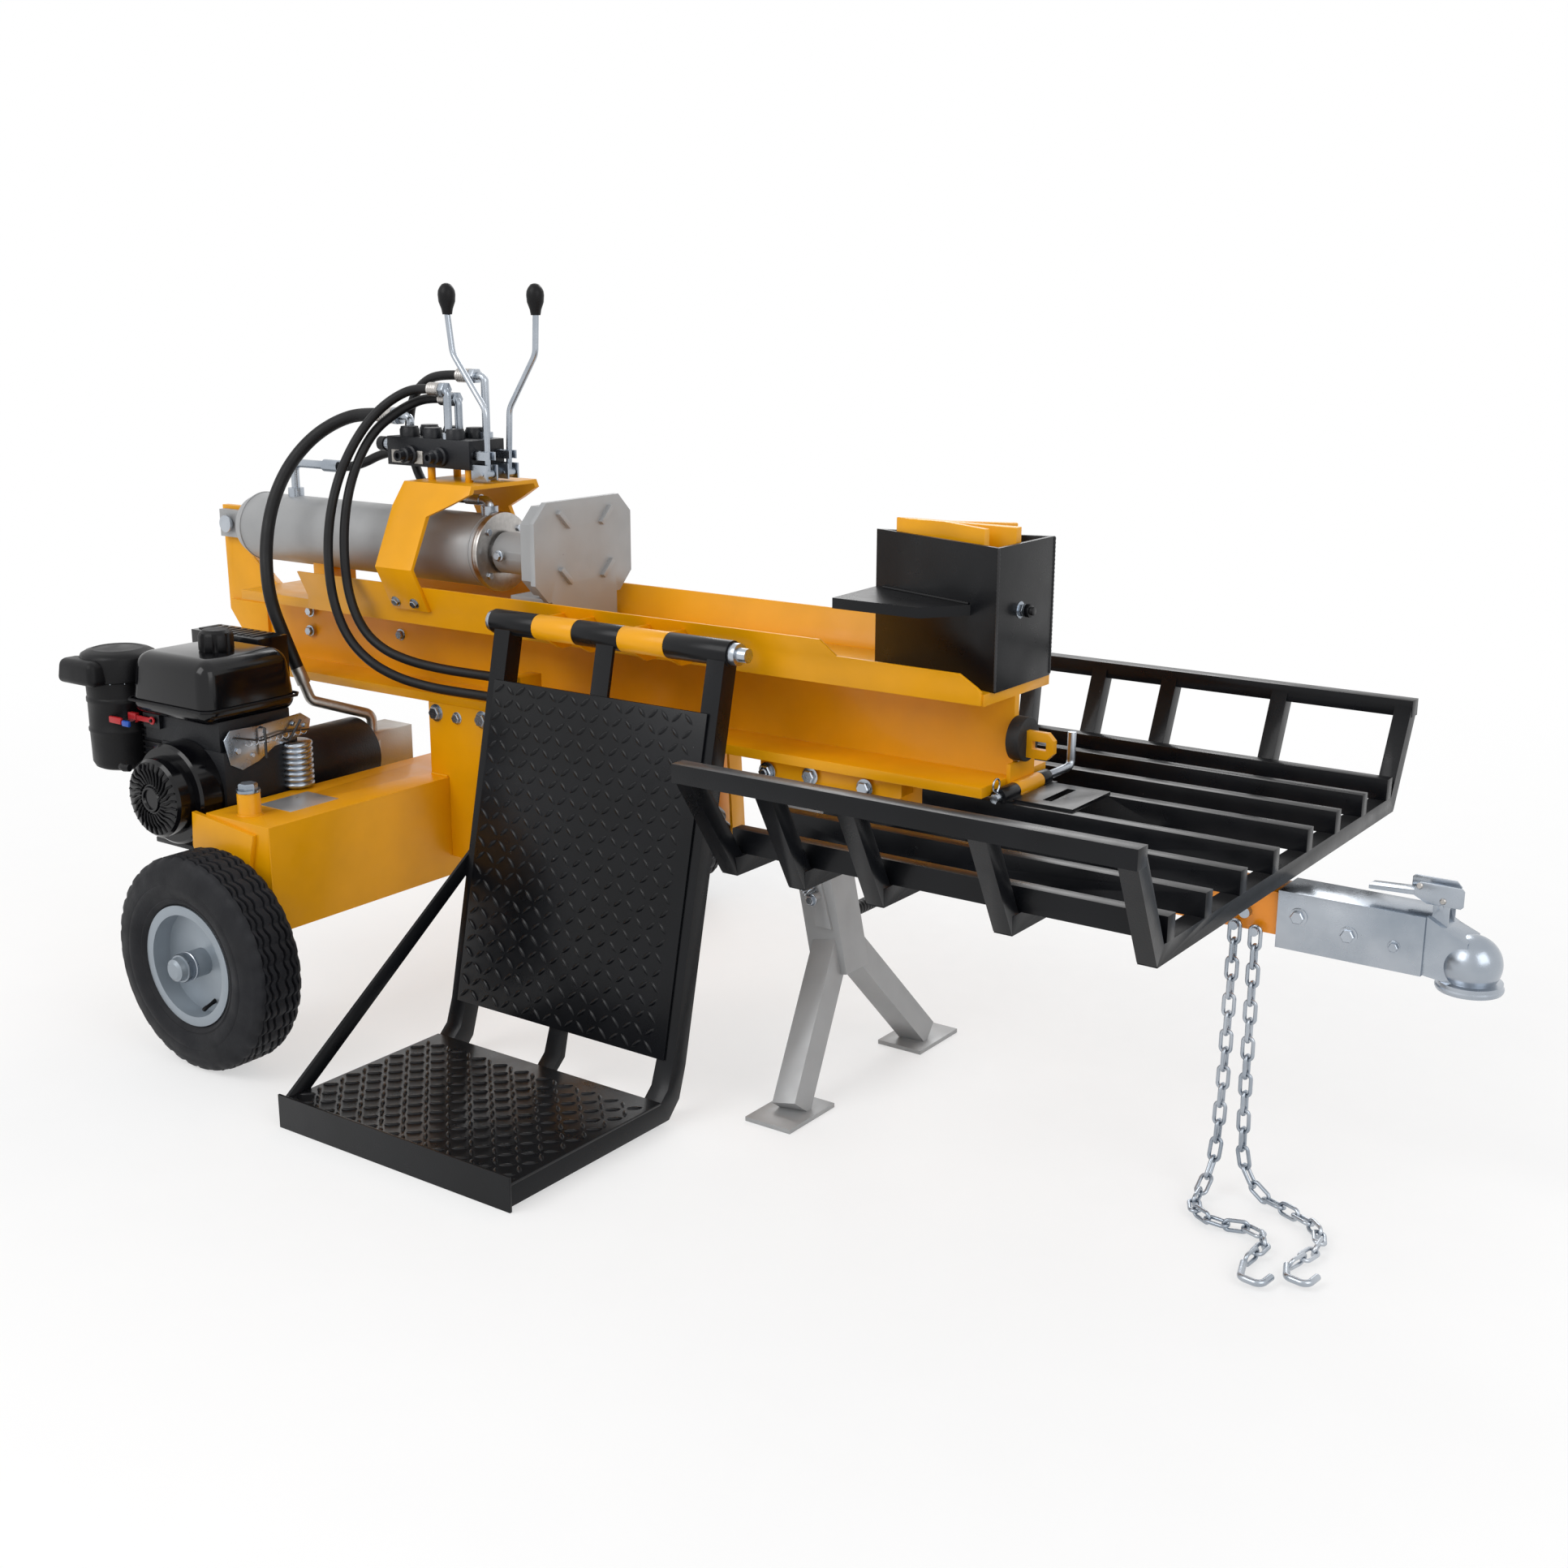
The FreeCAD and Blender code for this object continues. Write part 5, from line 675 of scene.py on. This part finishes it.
def fasteners():
    """The bolts and nuts of the beam, pedestal, bracket, coupler, gland, receiver and jack."""
    near = (0, -1, 0)
    bolts("beam_bolts", "zinc", "chassis", "zinc",
          *[bolt(at(x, y, z), near, 17) for x, y, z in ((-414, -16, 735), (-418, -16, 691),
                                                       (-142, -8, 711))])
    bolts("pedestal_bolts", "zinc", "chassis", "zinc",
          *[bolt(at(x, -113, z), near, size) for x, z, size in ((62, 588, 24), (120, 584, 17),
                                                               (190, 590, 24))])
    lean = math.atan2(WING_RUN, WING_RISE)
    face_y = WING_BEND_Y + (BRACKET_BOLT_Z - WING_BEND_Z) * WING_RUN / WING_RISE + BOLT_FACE_OUT
    bolts("bracket_bolts", "zinc", "chassis", "zinc",
          *[bolt(at(x, sign * face_y, BRACKET_BOLT_Z), (0, sign * math.cos(lean), -math.sin(lean)), 15)
            for sign in (-1, 1) for x in (-14, 38)])
    bolts("coupler_bolts", "zinc", "chassis", "zinc",
          *[bolt(at(x, -40, z), near, 19) for x, z in ((1850, 488), (1930, 474))],
          bolt(at(2000, -40, 470), near, 13),
          *[nut_on_stud(at(x, 40, z), (0, 1, 0), 19, 12) for x, z in ((1850, 488), (1930, 474))])
    bolts("gland_bolts", "zinc", "chassis", "zinc",
          *[bolt(at(158, 62 * math.cos(t), RAM_HEIGHT + 62 * math.sin(t)), (1, 0, 0), 13, False)
            for t in [PI / 4 + PI / 2 * i for i in range(4)]])
    bolts("receiver_bolts", "zinc", "chassis", "zinc",
          *[bolt(at(x, -95.5, z), near, 22) for x, z in ((970, 590), (1085, 586))],
          *[nut_on_stud(at(JACK_HINGE_X, sign * 93, JACK_HINGE_Z), (0, sign, 0), 24, 14)
            for sign in (-1, 1)])
    bolts("jack_nuts", "zinc", "jack", "zinc",
          *[nut_on_stud(at(x, -66.5, z), near, 15, 8) for x, z in ((904.4, 398.5), (955, 349))])


fasteners()

# Wedge: adjusting bolt with its nut, and weld beads


def bead(name, points, radius, look, body, slot):
    """A weld bead: a rope of overlapping drops along a line."""
    points = [Vector(p) for p in points]
    path = []
    for a, b in zip(points, points[1:]):
        count = max(2, int((b - a).length / 0.0035))
        path += [a + (b - a) * i / count for i in range(count)]
    path.append(points[-1])
    verts, faces = rod_path(path, radius, 8)
    for i in range(len(path)):
        swell = 1.0 + (0.18 if i % 2 else -0.1)
        for k in range(8):
            v = verts[i * 8 + k]
            verts[i * 8 + k] = path[i] + (v - path[i]) * swell
    piece(name, verts, faces, look, body, slot, 70)


def wedge():
    """The four-way box's bolt, and the welds along its end and its fins."""
    bolts("wedge_bolt", "zinc", "four_way", "zinc",
          nut_on_stud(at(1335, -18, 913), (1, 0, 0), 19, 26),
          bolt(at(1343, -18, 913), (1, 0, 0), 19, False))
    for sign, side in ((-1, "near"), (1, "far")):
        bead("box_weld_" + side, [at(1334.5, sign * 95.6, z) for z in (788, 1022)], 0.0022,
             "dark", "four_way", "black_paint")
        bead("fin_weld_" + side, (at(1062, sign * 8, 924), at(1270, sign * 75, 924)), 0.003, "black",
             "four_way", "black_paint")


wedge()

# Main cylinder: weld rings round the barrel, the gland's groove and the cross pin's bolt and nut

BARREL_SKIN = 72.9


def cylinder_details():
    """Rings round the barrel, and the fasteners of the push plate's cross pin."""
    for name, x in (("barrel_weld_rear", -560), ("barrel_weld_front", 128)):
        ring = [at(x, BARREL_SKIN * math.cos(t), RAM_HEIGHT + BARREL_SKIN * math.sin(t))
                for t in [2 * PI * i / 120 for i in range(121)]]
        bead(name, ring, 0.0016, "grey", "chassis", "grey_paint")
    ring = lathe([(0, 0.079), (0.002, 0.0796), (0.004, 0.079)], at(146, 0, RAM_HEIGHT), (1, 0, 0), 64)
    piece("gland_groove", *ring, "steel", "chassis", "zinc")
    for name, sign in (("cross_pin_bolt", -1), ("cross_pin_nut", 1)):
        piece(name, *bolt(at(190, sign * 50, RAM_HEIGHT), (0, sign, 0), 15), "zinc", "ram", "zinc")


cylinder_details()

# Valve: cast towers, end caps and alloy side plate, and the sleeves and hexagons at the hose ends


def valve_details():
    """What stands on the valve body, and the ends of the hoses that meet it."""
    forms = []
    for x in (-66, 0, 62):
        for y in (-28, 28):
            forms.append(lathe([(-0.002, 0.02), (0.014, 0.02), (0.017, 0.018), (0.02, 0.0175),
                                (0.02, 0)], at(x, y, 1130), (0, 0, 1), 28))
    piece("valve_towers", *gather(*forms), "valve", "chassis", "cast_alloy")
    caps = []
    for y in (-30, 30):
        caps.append(lathe([(0, 0.0145), (0.006, 0.0145), (0.007, 0.012), (0.02, 0.012), (0.021, 0.0145),
                           (0.038, 0.0145), (0.04, 0.012), (0.04, 0.006), (0.034, 0.006), (0.034, 0)],
                          at(-110, y, 1112), (-1, 0, 0), 28))
    for x in (-40, 44):
        caps.append(lathe([(0, 0.019), (0.008, 0.019), (0.01, 0.015), (0.024, 0.015), (0.026, 0.011),
                           (0.04, 0.011), (0.04, 0.006), (0.034, 0.006), (0.034, 0)],
                          at(x, -50, 1096), (0, -1, 0), 28))
    piece("valve_caps", *gather(*caps), "valve", "chassis", "cast_alloy")
    piece("valve_side_plate", *slab((-96, -8), (-52.5, -49), (1078, 1104)), "cast", "chassis",
          "cast_alloy", 35, 0.0012)
    sleeves = []
    hexes = []
    for (x, y, z), radius, length in (((-182, 4, 1166), 17, 44), ((4, -34, 1226), 13.5, 32),
                                      ((4, -4, 1206), 13.5, 32), ((22, 30, 1251), 14, 36)):
        r = radius / 1000
        profile = [(0, r * 0.86), (0.002, r)]
        for i in range(5):
            a = (0.14 + 0.15 * i) * length / 1000
            profile += [(a, r), (a + 0.0012, r * 0.95), (a + 0.003, r * 0.95), (a + 0.0042, r)]
        profile += [(length / 1000, r), (length / 1000 + 0.001, r * 0.8)]
        sleeves.append(lathe(profile, at(x - 2, y, z), (1, 0, 0), 32))
        hexes.append(prism(hexagon(r * 1.12), at(x + length, y, z), (1, 0, 0), 0.014))
    piece("hose_sleeves", *gather(*sleeves), "steel", "chassis", "zinc")
    piece("hose_hexes", *gather(*hexes), "zinc", "chassis", "zinc", 35, 0.001)


valve_details()

# Engine: fuel tank and cap, blower housing, air cleaner, control plate, fins and levers


def rounded_box(name, x, y, z, round_off, look, body, slot, taper=0.0):
    """A soft block: wide bevels and a top that may draw in."""
    verts, faces = slab(x, y, z)
    middle = at((x[0] + x[1]) / 2, (y[0] + y[1]) / 2, z[1])
    for i in range(4, 8):
        verts[i] = Vector((middle.x + (verts[i].x - middle.x) * (1 - taper),
                           middle.y + (verts[i].y - middle.y) * (1 - taper), verts[i].z))
    thing = piece(name, verts, faces, look, body, slot, 180)
    thing.modifiers.remove(thing.modifiers["split"])
    edge = thing.modifiers.new("edge", "BEVEL")
    edge.width = round_off
    edge.segments = 6
    edge.limit_method = "NONE"
    return thing


def engine():
    """The engine's covers, tank, air cleaner and controls."""
    tank = rounded_box("fuel_tank_shell", (CRANK_X - 141, CRANK_X + 103), (-551, -318), (612, 737),
                       0.03, "gloss", "chassis", "engine_plastic", 0.10)
    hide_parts("fuel_tank")
    seam = rod_path([at(x, y, 642) for x, y in (
        (CRANK_X - 128, -552), (CRANK_X + 90, -552), (CRANK_X + 104, -538), (CRANK_X + 104, -331),
        (CRANK_X + 90, -317), (CRANK_X - 128, -317), (CRANK_X - 142, -331), (CRANK_X - 142, -538),
        (CRANK_X - 128, -552))], 0.003, 8)
    piece("fuel_tank_seam", *seam, "plastic", "chassis", "engine_plastic")
    neck = lathe([(-0.012, 0.03), (0.004, 0.03), (0.006, 0.024), (0.02, 0.023), (0.02, 0)],
                 at(CRANK_X, -435, 736), (0, 0, 1), 40)
    piece("fuel_neck_ring", *neck, "gloss", "chassis", "engine_plastic")

    def ribs(j, i):
        return -0.0035 if (i % 8) in (0, 1) and 1 < j < 5 else 0.0

    cap = lathe([(0, 0.0235), (0, 0.032), (0.003, 0.034), (0.012, 0.034), (0.03, 0.034), (0.036, 0.031),
                 (0.0415, 0.024), (0.042, 0.012), (0.042, 0)],
                at(CRANK_X, -435, 736.3), (0, 0, 1), 64, ribs)
    cap = piece("fuel_cap_ribbed", *cap, "plastic", "cap", "engine_plastic")
    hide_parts("fuel_cap")

    # Blower housing with a ring of slanted slots round the starter
    centre = at(CRANK_X, -613, 473)
    housing = lathe([(0, 0), (0, 0.018), (-0.004, 0.02), (-0.004, 0.024), (0.0, 0.026), (0.001, 0.06),
                     (0.004, 0.072), (0.01, 0.077), (0.040, 0.078), (0.041, 0.094), (0.046, 0.099),
                     (0.093, 0.1)], centre, (0, 1, 0), 72)
    housing = piece("recoil_housing", *housing, "gloss", "chassis", "engine_plastic")
    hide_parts("recoil_starter")
    fins = []
    for i in range(28):
        t = 2 * PI * i / 28
        a = Vector((math.cos(t), 0, math.sin(t)))
        b = Vector((math.cos(t + 0.3), 0, math.sin(t + 0.3)))
        fins.append(rod_path([centre + a * 0.03 + Vector((0, -0.001, 0)),
                              centre + (a + b) * 0.5 * 0.046 + Vector((0, -0.0015, 0)),
                              centre + b * 0.058 + Vector((0, -0.0005, 0)),
                              centre + b * 0.07 + Vector((0, 0.004, 0))], 0.0026, 6))
    piece("recoil_grille", *gather(*fins), "plastic", "chassis", "engine_plastic", 60)
    grip = rod_path([at(CRANK_X - 62, -628, 532), at(CRANK_X - 50, -631, 531), at(CRANK_X - 38, -628, 532)],
                    0.0072, 12)
    piece("starter_grip", *grip, "plastic", "chassis", "engine_plastic")

    # Air cleaner: canister with bands and a wide lid, the scoop, the intake and two clips
    spot = at(-430, -500, 0)
    can = lathe([(0.486, 0), (0.486, 0.052), (0.49, 0.06), (0.5, 0.065), (0.56, 0.066), (0.563, 0.068),
                 (0.568, 0.068), (0.571, 0.066), (0.62, 0.066), (0.623, 0.068), (0.63, 0.068),
                 (0.633, 0.066), (0.664, 0.067), (0.667, 0.073), (0.672, 0.074), (0.712, 0.074),
                 (0.718, 0.071), (0.723, 0.062), (0.7265, 0.05), (0.725, 0.047), (0.727, 0.03), (0.727, 0)],
                spot, (0, 0, 1), 64)
    air = piece("air_canister", *can, "plastic", "chassis", "engine_plastic")
    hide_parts("air_cleaner")
    rounded_box("air_scoop", (-506, -388), (-596, -540), (662, 712), 0.014, "plastic", "chassis",
                "engine_plastic", 0.12)
    rounded_box("air_intake", (-402, -350), (-492, -448), (536, 584), 0.01, "plastic", "chassis",
                "engine_plastic", 0.05)
    clips = [rod_path(arc(at(-430 + 68 * math.cos(t), -500 + 68 * math.sin(t), 664),
                          (-math.sin(t), math.cos(t), 0), (0, 0, 1), 0.014, 0, 180), 0.0016, 8)
             for t in (-0.7, -2.4)]
    piece("air_clips", *gather(*clips), "zinc", "chassis", "zinc")

    # Control plate on the side towards the beam, with its screws, links and governor spring
    edge = [(-520, 585), (-505, 602), (-440, 600), (-330, 606), (-306, 590), (-312, 568), (-350, 556),
            (-400, 552), (-440, 530), (-480, 520), (-508, 535)]
    count = len(edge)
    verts = [at(x, a, b) for x in (-97.5, -94.5) for a, b in edge]
    faces = [tuple(range(count)), tuple(range(count, 2 * count))]
    faces += [(i, (i + 1) % count, count + (i + 1) % count, count + i) for i in range(count)]
    piece("control_plate_cover", verts, faces, "zinc", "chassis", "zinc", 35, 0.001)
    bolts("control_screws", "zinc", "chassis", "zinc",
          *[bolt(at(-94.5, y, z), (1, 0, 0), size, False) for y, z, size in (
              (-490, 560, 12), (-420, 585, 9), (-350, 588, 9), (-455, 545, 8), (-322, 580, 8))])
    links = [rod_path([at(-88, -498, 588), at(-86, -440, 572), at(-86, -380, 578), at(-88, -318, 572)],
                      0.0018, 8),
             rod_path([at(-94, -432, 596), at(-82, -432, 596), at(-82, -432, 536)], 0.0028, 8),
             rod_path([at(-94, -372, 560), at(-84, -372, 560), at(-84, -340, 596)], 0.0025, 8)]
    piece("control_links", *gather(*links), "dark", "chassis", "engine_metal", 60)
    turns = [at(-86 + 4.5 * math.cos(t), -480 + 2.4 * t, 570 + 4.5 * math.sin(t))
             for t in [PI / 5 * i for i in range(101)]]
    piece("governor_spring", *rod_path(turns, 0.0009, 6), "zinc", "chassis", "zinc", 70)
    ripple = [(0, 0)]
    for i in range(8):
        ripple += [(0.0115 * i, 0.030), (0.0115 * i + 0.003, 0.0345), (0.0115 * i + 0.0075, 0.0345)]
    ripple += [(0.092, 0.030), (0.092, 0)]
    piece("ribbed_shield", *lathe(ripple, at(-100, -345, 552), (0, 0, -1), 40), "zinc", "chassis",
          "zinc", 60)
    head_fins = [slab((CRANK_X - 158, CRANK_X - 79), (-508, -359), (z, z + 4))
                 for z in range(436, 592, 12)]
    piece("cooling_fins", *gather(*head_fins), "dark", "chassis", "engine_metal", 35, 0.0006)
    piece("choke_lever", *slab((CRANK_X - 190, CRANK_X - 152), (-560, -552), (588, 602)),
          "red", "chassis", "engine_plastic", 35, 0.003)
    piece("fuel_lever", *slab((CRANK_X - 150, CRANK_X - 128), (-560, -552), (586, 598)),
          "blue", "chassis", "engine_plastic", 35, 0.003)
    piece("lever_stems", *slab((CRANK_X - 172, CRANK_X - 136), (-552, -536), (592, 597)),
          "zinc", "chassis", "zinc", 35, 0.001)
    slots = [slab((-432 + 20 * i, -420 + 20 * i), (-300, -248), (734, 737.5)) for i in range(9)]
    piece("muffler_louvres", *gather(*slots), "dark", "chassis", "black_paint", 35, 0.001)


engine()

# Oil tank: blank data plate, the plug's hexagon, welds and drain plugs

PLUG_X = -16
PLUG_Y = -534


def tank_details():
    """The small parts on the tank's top, ends and floor."""
    piece("blank_data_plate", *slab((-54, 36), (-480, -360), (456.6, 458)), "plate", "chassis",
          "zinc", 35, 0.0004)
    bolts("plug_hexagon", "zinc", "chassis", "zinc", bolt(at(PLUG_X, PLUG_Y, 505), (0, 0, 1), 32, False))
    ring = [at(PLUG_X + 22.5 * math.cos(t), PLUG_Y + 22.5 * math.sin(t), 457.5)
            for t in [2 * PI * i / 40 for i in range(41)]]
    bead("neck_weld", ring, 0.0022, "yellow", "chassis", "yellow_paint")
    for sign, side in ((-1, "near"), (1, "far")):
        bead("tank_weld_" + side, [at(88, sign * 577, z) for z in (456, 262)], 0.0018, "yellow",
             "chassis", "yellow_paint")
        drain = bolt(at(62, sign * 540, 250), (0, 0, -1), 22)
        piece("drain_plug_" + side, *drain, "yellow", "chassis", "yellow_paint")


tank_details()

# The table pin's spring clip, the coupler latch's cheeks and rivets, and the coupler's lip


def small_parts():
    """Small parts on the table pin, the latch and the coupler."""
    x, y, z = 1342, -92, 608.5
    loop = arc(at(x, y, z + 22), (0, 1, 0), (0, 0, 1), 0.011, -60, 240, 16)
    clip = [at(x, y - 2, z - 10), *loop, at(x, y + 4, z + 9)]
    piece("pin_clip", *rod_path(clip, 0.0016, 8), "zinc", "hinge_pin", "zinc", 70)
    pad = []
    for sign in (-1, 1):
        pad.append(prism([(a / 1000, b / 1000) for a, b in (
            (-44, -12), (-40, -16), (22, -16), (30, -8), (30, 6), (10, 16), (-40, 16), (-44, 12))],
            at(2046, sign * 16, 556), (0, sign, 0), 0.0035))
    piece("latch_cheeks", *gather(*pad), "zinc", "latch", "zinc", 35, 0.0012)
    bolts("latch_rivets", "steel", "latch", "zinc",
          *[lathe([(0, 0), (0, 0.005), (0.001, 0.005), (0.003, 0.0035), (0.0036, 0)],
                  at(px, -19.5, pz), (0, -1, 0), 16) for px, pz in ((2024, 566), (2060, 548))])
    wear = lathe([(0, 0.0485), (0.003, 0.05), (0.006, 0.05), (0.008, 0.048), (0.008, 0.046)],
                 at(2105, 0, 414), (0, 0, 1), 48)
    piece("coupler_lip", *wear, "zinc", "chassis", "zinc")


small_parts()


# Black knobs on the levers, and the sleeve on the jack's bar

LEVER_TOP_FROM = 1.372


def knobs():
    """A knob over each lever's top, placed by the verts of that lever above a height."""
    for lever, body in (("split_lever", "split_handle"), ("lift_lever", "lift_handle")):
        top = [v.co for v in NODES[lever].data.vertices if v.co.z > LEVER_TOP_FROM]
        x = (min(v.x for v in top) + max(v.x for v in top)) / 2
        y = (min(v.y for v in top) + max(v.y for v in top)) / 2
        outline = [(1.3706, 0), (1.3706, 0.0094), (1.381, 0.0113), (1.395, 0.0163), (1.408, 0.0173),
                   (1.4155, 0.0165), (1.422, 0.0134), (1.428, 0.0084), (1.4299, 0.003), (1.43, 0)]
        piece(lever + "_knob", *lathe(outline, (x, y, 0), (0, 0, 1), 32), "plastic", body,
              "engine_plastic", 60)


knobs()

# The bar's place from the jack's pivot: down the leaning leg, and out in front of it
JACK_LEAN = math.radians(12)
GRIP_DOWN = 300
GRIP_OUT = 22


def jack_grip():
    """A ribbed black sleeve on the bar that lifts the jack."""
    x = JACK_HINGE_X + GRIP_OUT * math.cos(JACK_LEAN) + GRIP_DOWN * math.sin(JACK_LEAN)
    z = JACK_HINGE_Z + GRIP_OUT * math.sin(JACK_LEAN) - GRIP_DOWN * math.cos(JACK_LEAN)
    outline = [(0.03, 0.0108), (0.03, 0.0135)]
    for i in range(9):
        rib = 0.01 * i
        outline += [(0.034 + rib, 0.0135), (0.036 + rib, 0.0125), (0.040 + rib, 0.0125),
                    (0.042 + rib, 0.0135)]
    outline += [(0.133, 0.0135), (0.1355, 0.011), (0.1355, 0)]
    piece("jack_grip_sleeve", *lathe(outline, at(x, 36.5, z), (0, 1, 0), 28), "plastic", "jack",
          "engine_plastic", 60)


jack_grip()

# Welds where the main parts of the frame meet


# Each weld's two ends along the machine and up, its distance from the middle and its radius
WELDS = (
    ("lug_weld_", ((-612, 848), (-540, 786)), 8, 0.003),
    ("wedge_weld_", ((1120, 786), (1216, 786)), 9.5, 0.0035),
    ("saddle_weld_", ((-369, 786), (-321, 786)), 38, 0.003),
    ("pedestal_weld_", ((42, 458), (88, 458)), 113.5, 0.003),
)


def frame_welds():
    """Every weld, on the near and the far side."""
    for sign, side in ((-1, "near"), (1, "far")):
        for name, ends, across, radius in WELDS:
            bead(name + side, [at(x, sign * across, z) for x, z in ends], radius, "yellow", "chassis",
                 "yellow_paint")


frame_welds()
